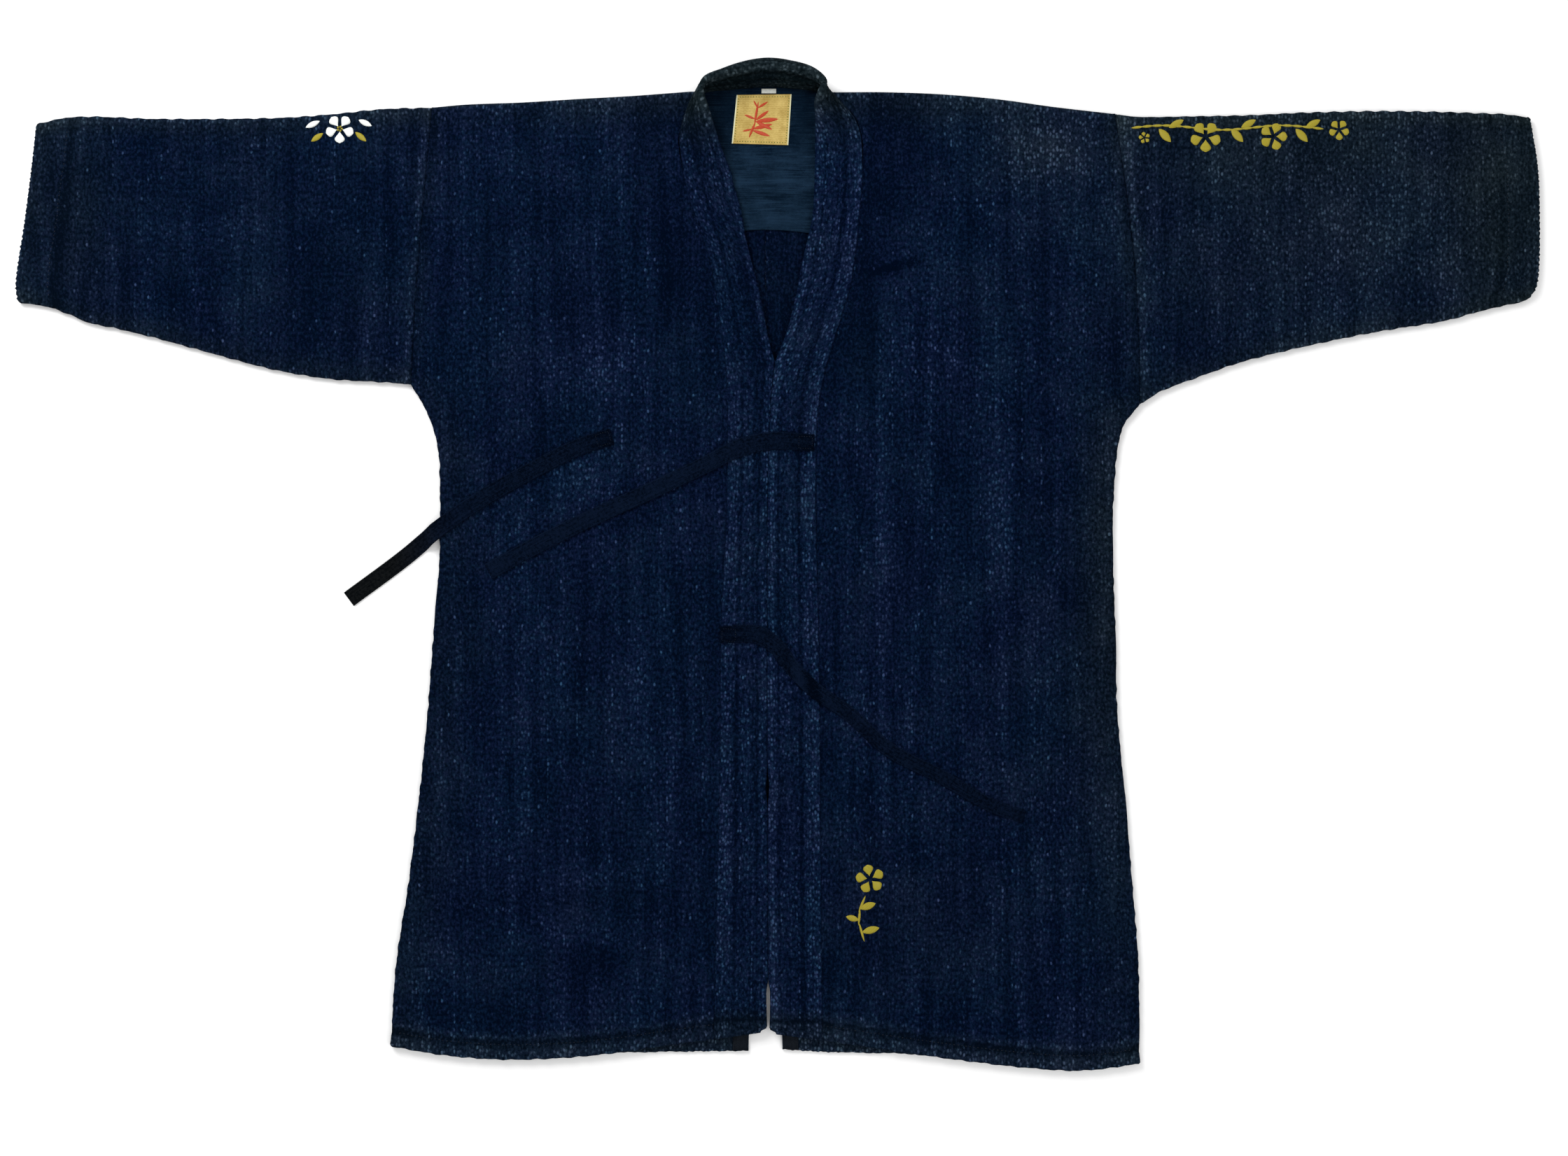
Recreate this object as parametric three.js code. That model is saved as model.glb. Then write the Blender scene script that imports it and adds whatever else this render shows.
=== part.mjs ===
/**
 * A noragi: a Japanese work jacket of dark indigo rice-grain weave, laid flat with its front up.
 *
 * Millimetres, +Z up, +Y towards the neck, +X towards the wearer's left. The back lies on z = 0 and
 * the origin is under the middle of the outline. Each body panel is one length of cloth, from the
 * front hem over the shoulder fold to the back hem. The sleeves are flattened tubes, folded along
 * the top and closed by a seam underneath.
 */
import * as THREE from "three";

// Cloth, layers and seams
const WALL = 2.4;
const LAYER_GAP = 1.7;
const SEAM_GAP = 0.3;
const HEM_RAISE = 0.8;
const HEM_DEPTH = 12;
const CUFF_DEPTH = 32;
const STEP_WIDTH = 2;
const PUFF = 1.2;
const PUFF_REACH = 70;

const BACK_Z = WALL / 2;
const FRONT_Z = BACK_Z + WALL + LAYER_GAP;
const MIDDLE_Z = (BACK_Z + FRONT_Z) / 2;
const FOLD_RADIUS = (FRONT_Z - BACK_Z) / 2;
const FOLD_INSET = FOLD_RADIUS + WALL / 2;

// Lengths along the cloth, from a hem or an armhole, and the spacing of the rows of points
const PANEL_LENGTH = 850;
const UNDERARM_FROM = 500;
const UNDERARM_TO = 612;
const FINE_ROW = 14;
const FRONT_ROW = 37;
const CHEST_ROW = 30;
const BACK_ROW = 84;
const SLEEVE_LENGTH = 350;
const SLEEVE_ROW = 28;

// Lining, label and facings
const LINING_WALL = 1;
const LINING_Z = WALL + 0.35 + LINING_WALL / 2;
const LINING_HALF_WIDTH = 138;
const LINING_NECK_HALF = 64;
const LINING_SHOULDER_TOP = 412;
const LINING_ARCH = 8;
const LABEL_WALL = 0.8;
const TAG_WALL = 0.6;
const FACING_WALL = 1;
const FACING_WIDTH = 13.5;
const FACING_LENGTH = 180;
const FACING_SETBACK = 0.8;
const FACING_ROW = 22;

// Collar band
const BAND_WALL = 5;
const BAND_GROOVE = 1.6;
const BAND_RIBS = 6;
const BAND_Z = FRONT_Z - WALL / 2 + BAND_WALL / 2;
const BAND_BASE_Z = BAND_Z - BAND_WALL / 2;
const BAND_OPENING_Y = 183;
const BAND_FLAT_TO = 350;
const BAND_CORNER = 6;

// Ties
const TIE_WALL = 1.5;
const TIE_STEP = 14;
const TIE_LIFT = 0.35;

// Places on the body
const CENTRE_X = -11;
const NECK_HALF = 57;
const VENT_TOP = -260;
const VENT_LENGTH = 180;
const VENT_HALF_GAP = 15.3;
const UNDERARM_TURN = 16;
const NECKLINE_MARGIN = 5;
const NECKLINE_TURN = 12;

const CLOTH = { color: 0x0a1529, roughness: 0.92, metalness: 0 };
const LINING_CLOTH = { color: 0x162a3d, roughness: 0.95, metalness: 0 };
const TAPE_CLOTH = { color: 0x171c25, roughness: 0.9, metalness: 0 };
const TIE_CLOTH = { color: 0x050d1e, roughness: 0.9, metalness: 0 };
const LABEL_CLOTH = { color: 0xbd9d5e, roughness: 0.5, metalness: 0 };
const TAG_CLOTH = { color: 0xd8d8d4, roughness: 0.8, metalness: 0 };

// The outline of each half. Heights y run from hem to neck, and places x across.
const RIGHT = {
  sign: -1,
  underarm: 162,
  armhole: [
    { y: 412, x: -311.2 },
    { y: 342, x: -317.5 },
    { y: 245, x: -325.7 },
    { y: 162, x: -330.1 },
  ],
  side: [
    { y: 162, x: -330.1 },
    { y: 142.7, x: -318.5 },
    { y: 130, x: -313.1 },
    { y: 117, x: -308.7 },
    { y: 92, x: -304.9 },
    { y: 4, x: -304.9 },
    { y: -59, x: -310 },
    { y: -134, x: -315.6 },
    { y: -210, x: -323.2 },
    { y: -286, x: -332.6 },
    { y: -361, x: -344 },
    { y: -434, x: -348.4 },
  ],
  collarSeam: [
    { y: -427, x: -56.7 },
    { y: -311, x: -54.8 },
    { y: -185, x: -51.7 },
    { y: -59, x: -50.4 },
    { y: 54, x: -45.4 },
    { y: 155, x: -44.7 },
    { y: 193, x: -47.9 },
    { y: 228, x: -52.9 },
    { y: 275, x: -61.1 },
    { y: 319, x: -76 },
    { y: 363, x: -86.9 },
    { y: 382, x: -89.5 },
    { y: 398, x: -87.6 },
    { y: 414, x: -81.9 },
    { y: 426, x: -78.8 },
  ],
  freeEdge: [
    { y: 183, x: -2.6 },
    { y: 204, x: -8.2 },
    { y: 245, x: -16.4 },
    { y: 293, x: -28.4 },
    { y: 317, x: -32.5 },
    { y: 345, x: -40.5 },
  ],
  shoulder: [
    { x: -311.2, y: 411.7 },
    { x: -280, y: 414.5 },
    { x: -230, y: 416.4 },
    { x: -180, y: 419.5 },
    { x: -129, y: 422.4 },
    { x: -78.8, y: 426.2 },
  ],
  frontHem: [
    { x: -348.4, y: -433.8 },
    { x: -305.5, y: -441.3 },
    { x: -255, y: -445.7 },
    { x: -205, y: -445.1 },
    { x: -155, y: -441 },
    { x: -94.5, y: -432.5 },
    { x: -56.7, y: -427.5 },
  ],
  backHem: [
    { x: -348.4, y: -433.8 },
    { x: -305.5, y: -441.3 },
    { x: -255, y: -445.7 },
    { x: -205, y: -445.1 },
    { x: -155, y: -441 },
    { x: -79, y: -439.4 },
    { x: -26.5, y: -438.8 },
  ],
  sleeveTop: [
    { x: -311.2, y: 411.7 },
    { x: -356, y: 410.4 },
    { x: -406, y: 405.4 },
    { x: -457, y: 402.3 },
    { x: -557.5, y: 401.6 },
    { x: -633, y: 403.5 },
    { x: -667.2, y: 397.2 },
  ],
  sleeveBottom: [
    { x: -330.1, y: 162.2 },
    { x: -356, y: 164.1 },
    { x: -406, y: 167.3 },
    { x: -457, y: 176.1 },
    { x: -507, y: 189.3 },
    { x: -557.5, y: 203.2 },
    { x: -633, y: 222.7 },
    { x: -684, y: 235 },
  ],
  cuff: [
    { y: 397, x: -667.4 },
    { y: 357, x: -671.8 },
    { y: 306, x: -678.4 },
    { y: 253, x: -686 },
    { y: 235, x: -684 },
  ],
};

const LEFT = {
  sign: 1,
  underarm: 144,
  armhole: [
    { y: 406, x: 303.7 },
    { y: 364, x: 310 },
    { y: 303, x: 318.2 },
    { y: 245, x: 323.4 },
    { y: 190, x: 325.6 },
    { y: 144, x: 326.2 },
  ],
  side: [
    { y: 144, x: 326.2 },
    { y: 130, x: 314 },
    { y: 117, x: 308.7 },
    { y: 92, x: 304.9 },
    { y: 29, x: 301.8 },
    { y: -59, x: 304.3 },
    { y: -134, x: 306.2 },
    { y: -210, x: 313.1 },
    { y: -286, x: 319.4 },
    { y: -361, x: 325.1 },
    { y: -450, x: 325.7 },
  ],
  collarSeam: [
    { y: -429, x: 39.8 },
    { y: -248, x: 38.3 },
    { y: -59, x: 36.5 },
    { y: 54, x: 34 },
    { y: 130, x: 35.3 },
    { y: 168, x: 41 },
    { y: 206, x: 51.7 },
    { y: 256, x: 66.2 },
    { y: 319, x: 73.7 },
    { y: 369, x: 76.9 },
    { y: 388, x: 75.6 },
    { y: 404, x: 71.2 },
    { y: 416, x: 62.4 },
    { y: 425.6, x: 54.8 },
  ],
  freeEdge: [
    { y: 183, x: -2.2 },
    { y: 204, x: 6.3 },
    { y: 231, x: 13.9 },
    { y: 278, x: 23.3 },
    { y: 312, x: 30.9 },
    { y: 345, x: 33.2 },
  ],
  shoulder: [
    { x: 54.8, y: 425.6 },
    { x: 98, y: 425.6 },
    { x: 148, y: 423.7 },
    { x: 198, y: 419.3 },
    { x: 249, y: 412.3 },
    { x: 303.7, y: 406 },
  ],
  frontHem: [
    { x: 39.8, y: -428.6 },
    { x: 75, y: -433.8 },
    { x: 115, y: -439.8 },
    { x: 173, y: -447.6 },
    { x: 224, y: -453.3 },
    { x: 274, y: -455.8 },
    { x: 325.7, y: -449.8 },
  ],
  backHem: [
    { x: 4.4, y: -437.5 },
    { x: 47, y: -440 },
    { x: 123, y: -441.9 },
    { x: 173, y: -447.6 },
    { x: 224, y: -453.3 },
    { x: 274, y: -455.8 },
    { x: 325.7, y: -449.8 },
  ],
  sleeveTop: [
    { x: 303.7, y: 406 },
    { x: 324, y: 403.5 },
    { x: 375, y: 404.8 },
    { x: 425, y: 402.3 },
    { x: 476, y: 407.3 },
    { x: 551, y: 408.6 },
    { x: 652, y: 406 },
    { x: 677.2, y: 402.9 },
  ],
  sleeveBottom: [
    { x: 326.2, y: 144 },
    { x: 344, y: 155.3 },
    { x: 375, y: 167.3 },
    { x: 425, y: 184.3 },
    { x: 526, y: 207 },
    { x: 627, y: 226.5 },
    { x: 680, y: 240 },
  ],
  cuff: [
    { y: 403, x: 677.2 },
    { y: 357, x: 684.4 },
    { y: 313, x: 686 },
    { y: 269, x: 684.8 },
    { y: 240, x: 680 },
  ],
};

// The line where the two ends of the collar band meet, and the gap that opens at the hem.
const CENTRE_LINE = [
  { y: -421, x: -8.4 },
  { y: -279, x: -8.8 },
  { y: -90, x: -9.4 },
  { y: 80, x: -8.8 },
  { y: 143, x: -6.3 },
  { y: 183, x: -2.4 },
];
const BAND_GAP_TOP = 0.5;
const BAND_GAP_HEM = 2.2;
const BAND_GAP_FROM = -340;

// The back neckline, where the lining ends against the foot of the standing collar.
const BACK_NECKLINE = [
  { x: -78.8, y: 423 },
  { x: -62, y: 422.5 },
  { x: -38, y: 426 },
  { x: -11, y: 429.3 },
  { x: 18, y: 426.5 },
  { x: 40, y: 422.5 },
  { x: 54.8, y: 422.4 },
];

// Round the neck the band stands up from its seam and rolls outward at the back.
// rise lifts its middle into an arch, and stand is 0 where it lies flat and 1 where it stands.
const BAND_AT_NECK = [
  { seamX: -86.4, seamY: 366, freeX: -47.5, freeY: 367, freeZ: 10, rise: 1, stand: 0.05 },
  { seamX: -87.8, seamY: 382, freeX: -53.5, freeY: 383, freeZ: 15, rise: 4, stand: 0.25 },
  { seamX: -84.4, seamY: 397, freeX: -59.5, freeY: 397, freeZ: 20, rise: 8, stand: 0.6 },
  { seamX: -79.6, seamY: 411, freeX: -64.5, freeY: 411, freeZ: 22, rise: 10, stand: 0.9 },
  { seamX: -74.5, seamY: 421, freeX: -68, freeY: 423, freeZ: 22, rise: 11, stand: 1 },
  { seamX: -65.5, seamY: 427.5, freeX: -64, freeY: 434, freeZ: 20, rise: 13, stand: 1 },
  { seamX: -50, seamY: 429.5, freeX: -50, freeY: 442, freeZ: 17, rise: 17, stand: 1 },
  { seamX: -31, seamY: 431, freeX: -31, freeY: 449.5, freeZ: 15, rise: 17, stand: 1 },
  { seamX: -11, seamY: 432.5, freeX: -9, freeY: 453.2, freeZ: 14, rise: 17, stand: 1 },
  { seamX: 8, seamY: 431.5, freeX: 12, freeY: 450.5, freeZ: 14, rise: 17, stand: 1 },
  { seamX: 25, seamY: 430, freeX: 30, freeY: 443, freeZ: 15, rise: 16, stand: 1 },
  { seamX: 39, seamY: 427.5, freeX: 41.5, freeY: 432, freeZ: 19, rise: 16, stand: 1 },
  { seamX: 49.5, seamY: 421.5, freeX: 38, freeY: 422, freeZ: 22, rise: 12, stand: 1 },
  { seamX: 58, seamY: 412.5, freeX: 34.5, freeY: 413, freeZ: 19, rise: 8, stand: 0.75 },
  { seamX: 67.5, seamY: 402, freeX: 34, freeY: 402, freeZ: 15, rise: 4, stand: 0.4 },
  { seamX: 74.2, seamY: 387, freeX: 33.6, freeY: 387, freeZ: 11, rise: 2, stand: 0.15 },
  { seamX: 76.2, seamY: 368, freeX: 33.6, freeY: 368, freeZ: 8, rise: 0, stand: 0 },
];

// Soft folds on the upper layer: the ends of each, its half width and its height.
const FOLDS = [
  { x1: 76, y1: 259, x2: 135, y2: 273, reach: 9, height: 1.4 },
  { x1: -248, y1: -295, x2: -125, y2: -280, reach: 15, height: 1 },
  { x1: -248, y1: -343, x2: -148, y2: -327, reach: 15, height: 1 },
  { x1: -240, y1: 100, x2: -150, y2: 190, reach: 26, height: 0.8 },
  { x1: 215, y1: -20, x2: 205, y2: -330, reach: 24, height: 0.7 },
  { x1: 100, y1: 30, x2: 106, y2: -150, reach: 16, height: 0.6 },
  { x1: -400, y1: 205, x2: -340, y2: 330, reach: 20, height: 0.8 },
  { x1: -560, y1: 260, x2: -420, y2: 300, reach: 18, height: 0.7 },
  { x1: 400, y1: 215, x2: 345, y2: 320, reach: 20, height: 0.8 },
  { x1: 450, y1: 290, x2: 610, y2: 330, reach: 18, height: 0.7 },
];

// Crosswise wrinkles of the lining: height on the garment, half width and rise.
const LINING_WRINKLES = [
  { y: 367, reach: 5, height: 0.7 },
  { y: 341, reach: 5, height: 1.3 },
  { y: 318, reach: 6, height: 0.5 },
];

const LINING_ROWS = [301.5, 311, 318, 325, 333, 337, 341, 345, 350, 360, 367, 374, 390, 415, 433];

// The middle lines of the ties, from the sewn end to the free end.
const TIES = {
  tie_upper_left: [
    { x: 33, y: 109.3, width: 15 },
    { x: -9, y: 110.6, width: 16 },
    { x: -29, y: 106.5, width: 16 },
    { x: -67, y: 88.5, width: 15 },
    { x: -111, y: 67.5, width: 15 },
    { x: -176, y: 37.5, width: 15 },
    { x: -219, y: 16, width: 15 },
    { x: -260, y: -6.5, width: 15 },
  ],
  tie_lower_right: [
    { x: -52, y: -63.3, width: 15 },
    { x: -14.5, y: -64.6, width: 16 },
    { x: -1, y: -74, width: 15 },
    { x: 11, y: -90, width: 14 },
    { x: 31, y: -111, width: 14 },
    { x: 62.4, y: -133, width: 13 },
    { x: 98, y: -165, width: 13 },
    { x: 149, y: -192, width: 12.5 },
    { x: 194, y: -217.5, width: 12 },
    { x: 221, y: -227, width: 11 },
  ],
  tie_outer_right: [
    { x: -149, y: 115, width: 15 },
    { x: -172, y: 108, width: 15 },
    { x: -219, y: 85.4, width: 15 },
    { x: -263, y: 60.8, width: 15 },
    { x: -304, y: 33, width: 15 },
    { x: -334, y: 8, width: 15 },
    { x: -387, y: -31.5, width: 15 },
  ],
};

// A point whose x and y depend on each other settles in a few rounds.
const SETTLE = 6;

const mix = THREE.MathUtils.lerp;
const clamp01 = (value) => THREE.MathUtils.clamp(value, 0, 1);
const smooth = (value, from, to) => THREE.MathUtils.smoothstep(value, from, to);

/** A smooth function through the rows of a table, from one named column to another. */
function follow(rows, key, value) {
  const sorted = [...rows].sort((a, b) => a[key] - b[key]);
  const slope = (i) => {
    const before = sorted[Math.max(i - 1, 0)];
    const after = sorted[Math.min(i + 1, sorted.length - 1)];
    return (after[value] - before[value]) / (after[key] - before[key]);
  };
  return (at) => {
    let i = 0;
    while (i < sorted.length - 2 && at > sorted[i + 1][key]) i += 1;
    const [start, end] = [sorted[i], sorted[i + 1]];
    const span = end[key] - start[key];
    const t = clamp01((at - start[key]) / span);
    const bend = (1 - t) ** 2 * t * slope(i) - t ** 2 * (1 - t) * slope(i + 1);
    return mix(start[value], end[value], t * t * (3 - 2 * t)) + bend * span;
  };
}

/** Numbers from one value to another in equal steps no longer than step, without the last one. */
function steps(from, to, step) {
  const count = Math.ceil(Math.abs(to - from) / step);
  return Array.from({ length: count }, (_, i) => mix(from, to, i / count));
}

/** How much the soft folds lift the upper layer at a place. */
function foldHeight(x, y) {
  let height = 0;
  for (const fold of FOLDS) {
    const along = new THREE.Vector2(fold.x2 - fold.x1, fold.y2 - fold.y1);
    const from = new THREE.Vector2(x - fold.x1, y - fold.y1);
    const t = from.dot(along) / along.lengthSq();
    const across = from.cross(along) / along.length();
    height += fold.height * Math.exp(-((across / fold.reach) ** 2)) * Math.sin(Math.PI * clamp01(t));
  }
  return height;
}

/** A middle surface of shared points and four-sided faces, seen from the cloth's outer side. */
class Cloth {
  points = [];
  faces = [];
  raise = [];

  add(x, y, z, raise = 0) {
    this.points.push(new THREE.Vector3(x, y, z));
    this.raise.push(raise);
    return this.points.length - 1;
  }

  /** Faces between neighbouring rows of point numbers. */
  weave(rows) {
    for (let i = 0; i + 1 < rows.length; i += 1) {
      for (let j = 0; j + 1 < rows[i].length; j += 1) {
        this.faces.push([rows[i][j], rows[i][j + 1], rows[i + 1][j + 1], rows[i + 1][j]]);
      }
    }
  }

  normals() {
    const normals = this.points.map(() => new THREE.Vector3());
    for (const [a, b, c, d] of this.faces) {
      const diagonal = new THREE.Vector3().subVectors(this.points[c], this.points[a]);
      const other = new THREE.Vector3().subVectors(this.points[d], this.points[b]);
      const normal = diagonal.cross(other);
      for (const corner of [a, b, c, d]) normals[corner].add(normal);
    }
    return normals.map((normal) => normal.normalize());
  }

  /** The closed solid of a given wall round the middle surface. */
  solid(wall) {
    const count = this.points.length;
    const normals = this.normals();
    const positions = [];
    const push = (i, distance) => {
      const point = this.points[i].clone().addScaledVector(normals[i], distance);
      positions.push(point.x, point.y, point.z);
    };
    this.points.forEach((_, i) => push(i, wall / 2 + this.raise[i]));
    this.points.forEach((_, i) => push(i, -wall / 2));
    const triangles = [];
    const open = new Map();
    for (const [a, b, c, d] of this.faces) {
      triangles.push(a, b, c, a, c, d);
      triangles.push(count + a, count + c, count + b, count + a, count + d, count + c);
      for (const [from, to] of [[a, b], [b, c], [c, d], [d, a]]) {
        if (!open.delete(`${to} ${from}`)) open.set(`${from} ${to}`, [from, to]);
      }
    }
    for (const [from, to] of open.values()) {
      triangles.push(to, from, count + from, to, count + from, count + to);
    }
    const geometry = new THREE.BufferGeometry();
    geometry.setAttribute("position", new THREE.Float32BufferAttribute(positions, 3));
    geometry.setIndex(triangles);
    geometry.computeVertexNormals();
    return geometry;
  }
}

function piece(name, geometry, finish) {
  const mesh = new THREE.Mesh(geometry, new THREE.MeshStandardMaterial(finish));
  mesh.name = name;
  return mesh;
}

/** The functions that give one half's outline. */
function outline(half) {
  const armhole = follow(half.armhole, "y", "x");
  const side = follow(half.side, "y", "x");
  return {
    sign: half.sign,
    underarm: half.underarm,
    armhole,
    outer: (y) => (y > half.underarm ? armhole(y) : side(y)),
    collarSeam: follow(half.collarSeam, "y", "x"),
    neckPoint: half.collarSeam.at(-1).x,
    shoulder: follow(half.shoulder, "x", "y"),
    frontHem: follow(half.frontHem, "x", "y"),
    backHem: follow(half.backHem, "x", "y"),
    sleeveTop: follow(half.sleeveTop, "x", "y"),
    sleeveBottom: follow(half.sleeveBottom, "x", "y"),
    cuff: follow(half.cuff, "y", "x"),
  };
}

const backNeckline = follow(BACK_NECKLINE, "x", "y");
const centreLine = follow(CENTRE_LINE, "y", "x");

/** Half the gap between the back panels, which opens at the vent. */
function centreGap(y) {
  return SEAM_GAP / 2 + VENT_HALF_GAP * smooth(-y, -VENT_TOP, -VENT_TOP + VENT_LENGTH);
}

/** The upper edge of a back panel: the shoulder, and round the neck a margin inside the band. */
function backTop(lines, x) {
  const fromNeck = Math.abs(x) - Math.abs(lines.neckPoint);
  if (fromNeck >= 0 && Math.sign(x - CENTRE_X) === lines.sign) return lines.shoulder(x) - FOLD_INSET;
  const margin = NECKLINE_MARGIN * smooth(-fromNeck, 0, NECKLINE_TURN);
  return backNeckline(x) + margin;
}

const HALF_TURN = [45, 90, 135].map((angle) => THREE.MathUtils.degToRad(angle));
const EDGE_TURN = [45, 90].map((angle) => THREE.MathUtils.degToRad(angle));

/**
 * The points past the flat part of a layer towards a closed side.
 * closed is 0 at a cut edge, which stays in the layer, and 1 where the edge turns to meet the other.
 */
function edgePoint(step, closed, layerZ) {
  const turn = EDGE_TURN[step];
  const up = Math.sign(layerZ - MIDDLE_Z);
  const last = step === EDGE_TURN.length - 1;
  const turnedZ = MIDDLE_Z + up * (last ? SEAM_GAP / 2 : FOLD_RADIUS * Math.cos(turn));
  const cutOut = (FOLD_INSET - SEAM_GAP / 2) * ((step + 1) / EDGE_TURN.length);
  return {
    out: mix(cutOut, FOLD_RADIUS * Math.sin(turn), closed),
    z: mix(layerZ, turnedZ, closed),
  };
}

const FRONT_ROWS = [0, HEM_DEPTH, HEM_DEPTH + STEP_WIDTH]
  .concat(steps(HEM_DEPTH + FRONT_ROW, UNDERARM_FROM, FRONT_ROW))
  .concat(steps(UNDERARM_FROM, UNDERARM_TO, FINE_ROW))
  .concat(steps(UNDERARM_TO, PANEL_LENGTH, CHEST_ROW), [PANEL_LENGTH])
  .map((distance) => distance / PANEL_LENGTH);
const BACK_ROWS = steps(PANEL_LENGTH, UNDERARM_TO, BACK_ROW)
  .concat(steps(UNDERARM_TO, UNDERARM_FROM, FINE_ROW))
  .concat(steps(UNDERARM_FROM, 0, BACK_ROW), [0])
  .map((distance) => distance / PANEL_LENGTH);
const COLUMNS = 8;
const NECK_COLUMNS = 3;

/** One body panel: the front, the shoulder fold and the back, cut in one length. */
function bodyPanel(half) {
  const lines = outline(half);
  const cloth = new Cloth();
  const { sign } = lines;
  const closedAt = (y) => smooth(lines.underarm - y, 0, UNDERARM_TURN);
  const outer = (y) => lines.outer(y) - sign * FOLD_INSET;

  const place = (rowShare, columnShare, bottom, top, inner) => {
    let x = mix(outer(0), inner(0), columnShare);
    let y = 0;
    for (let i = 0; i < SETTLE; i += 1) {
      y = mix(bottom(x), top(x), rowShare);
      x = mix(outer(y), inner(y), columnShare);
    }
    return { x, y };
  };
  const edge = (at, layerZ, raise) => {
    const closed = closedAt(at.y);
    return [1, 0].map((step) => {
      const point = edgePoint(step, closed, layerZ);
      return cloth.add(at.x + sign * point.out, at.y, point.z, raise);
    });
  };
  const shares = Array.from({ length: COLUMNS + 1 }, (_, j) => j / COLUMNS);
  const shoulderLine = (x) => lines.shoulder(x) - FOLD_INSET;

  const frontInner = (y) => lines.collarSeam(y);
  const front = FRONT_ROWS.map((rowShare) => {
    const raise = rowShare * PANEL_LENGTH <= HEM_DEPTH ? HEM_RAISE : 0;
    const row = shares.map((share) => {
      const { x, y } = place(rowShare, share, lines.frontHem, shoulderLine, frontInner);
      const fromSide = smooth(Math.abs(x - outer(y)), 0, PUFF_REACH);
      const fromBand = smooth(Math.abs(x - frontInner(y)), 0, PUFF_REACH / 2);
      const fromHem = smooth(rowShare * PANEL_LENGTH, 0, PUFF_REACH);
      const fromFold = smooth((1 - rowShare) * PANEL_LENGTH, 0, PUFF_REACH / 2);
      const free = fromSide * fromBand * fromHem * fromFold;
      const z = FRONT_Z + (PUFF + foldHeight(x, y)) * free;
      return { x, y, index: cloth.add(x, y, z, raise) };
    });
    return [...edge(row[0], FRONT_Z, raise), ...row.map((point) => point.index)];
  });

  const rimXs = shares.map((share) => place(1, share, lines.frontHem, shoulderLine, frontInner).x);
  const fold = HALF_TURN.map((turn) => {
    const out = FOLD_RADIUS * Math.sin(turn);
    const z = MIDDLE_Z + FOLD_RADIUS * Math.cos(turn);
    const row = rimXs.map((x) => ({ x, y: shoulderLine(x) + out }));
    const seam = [1, 0].map((step) => {
      const x = row[0].x + sign * edgePoint(step, 0, z).out;
      return cloth.add(x, row[0].y, z);
    });
    return [...seam, ...row.map(({ x, y }) => cloth.add(x, y, z))];
  });

  const backInner = () => lines.neckPoint;
  const back = BACK_ROWS.map((rowShare) => {
    const row = shares.map((share) => {
      const { x, y } = place(rowShare, share, lines.backHem, shoulderLine, backInner);
      return { x, y, index: cloth.add(x, y, BACK_Z) };
    });
    return { last: row.at(-1), row: [...edge(row[0], BACK_Z, 0), ...row.map((point) => point.index)] };
  });
  const neck = back.map(({ last }, i) => {
    const columns = Array.from({ length: NECK_COLUMNS }, (_, j) => (j + 1) / NECK_COLUMNS);
    return [last.index, ...columns.map((share) => {
      let x = mix(last.x, CENTRE_X, share);
      let y = last.y;
      for (let k = 0; k < SETTLE; k += 1) {
        y = mix(lines.backHem(x), backTop(lines, x), BACK_ROWS[i]);
        x = mix(last.x, CENTRE_X + sign * centreGap(y), share);
      }
      return cloth.add(x, y, BACK_Z);
    })];
  });
  const rows = [...front, ...fold, ...back.map(({ row }) => row)];
  const facingOut = (list) => (sign < 0 ? list : list.map((row) => [...row].reverse()));
  cloth.weave(facingOut(rows));
  cloth.weave(facingOut(neck));
  return cloth.solid(WALL);
}

const SLEEVE_FRONT = 8;
const SLEEVE_BACK = 6;

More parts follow.
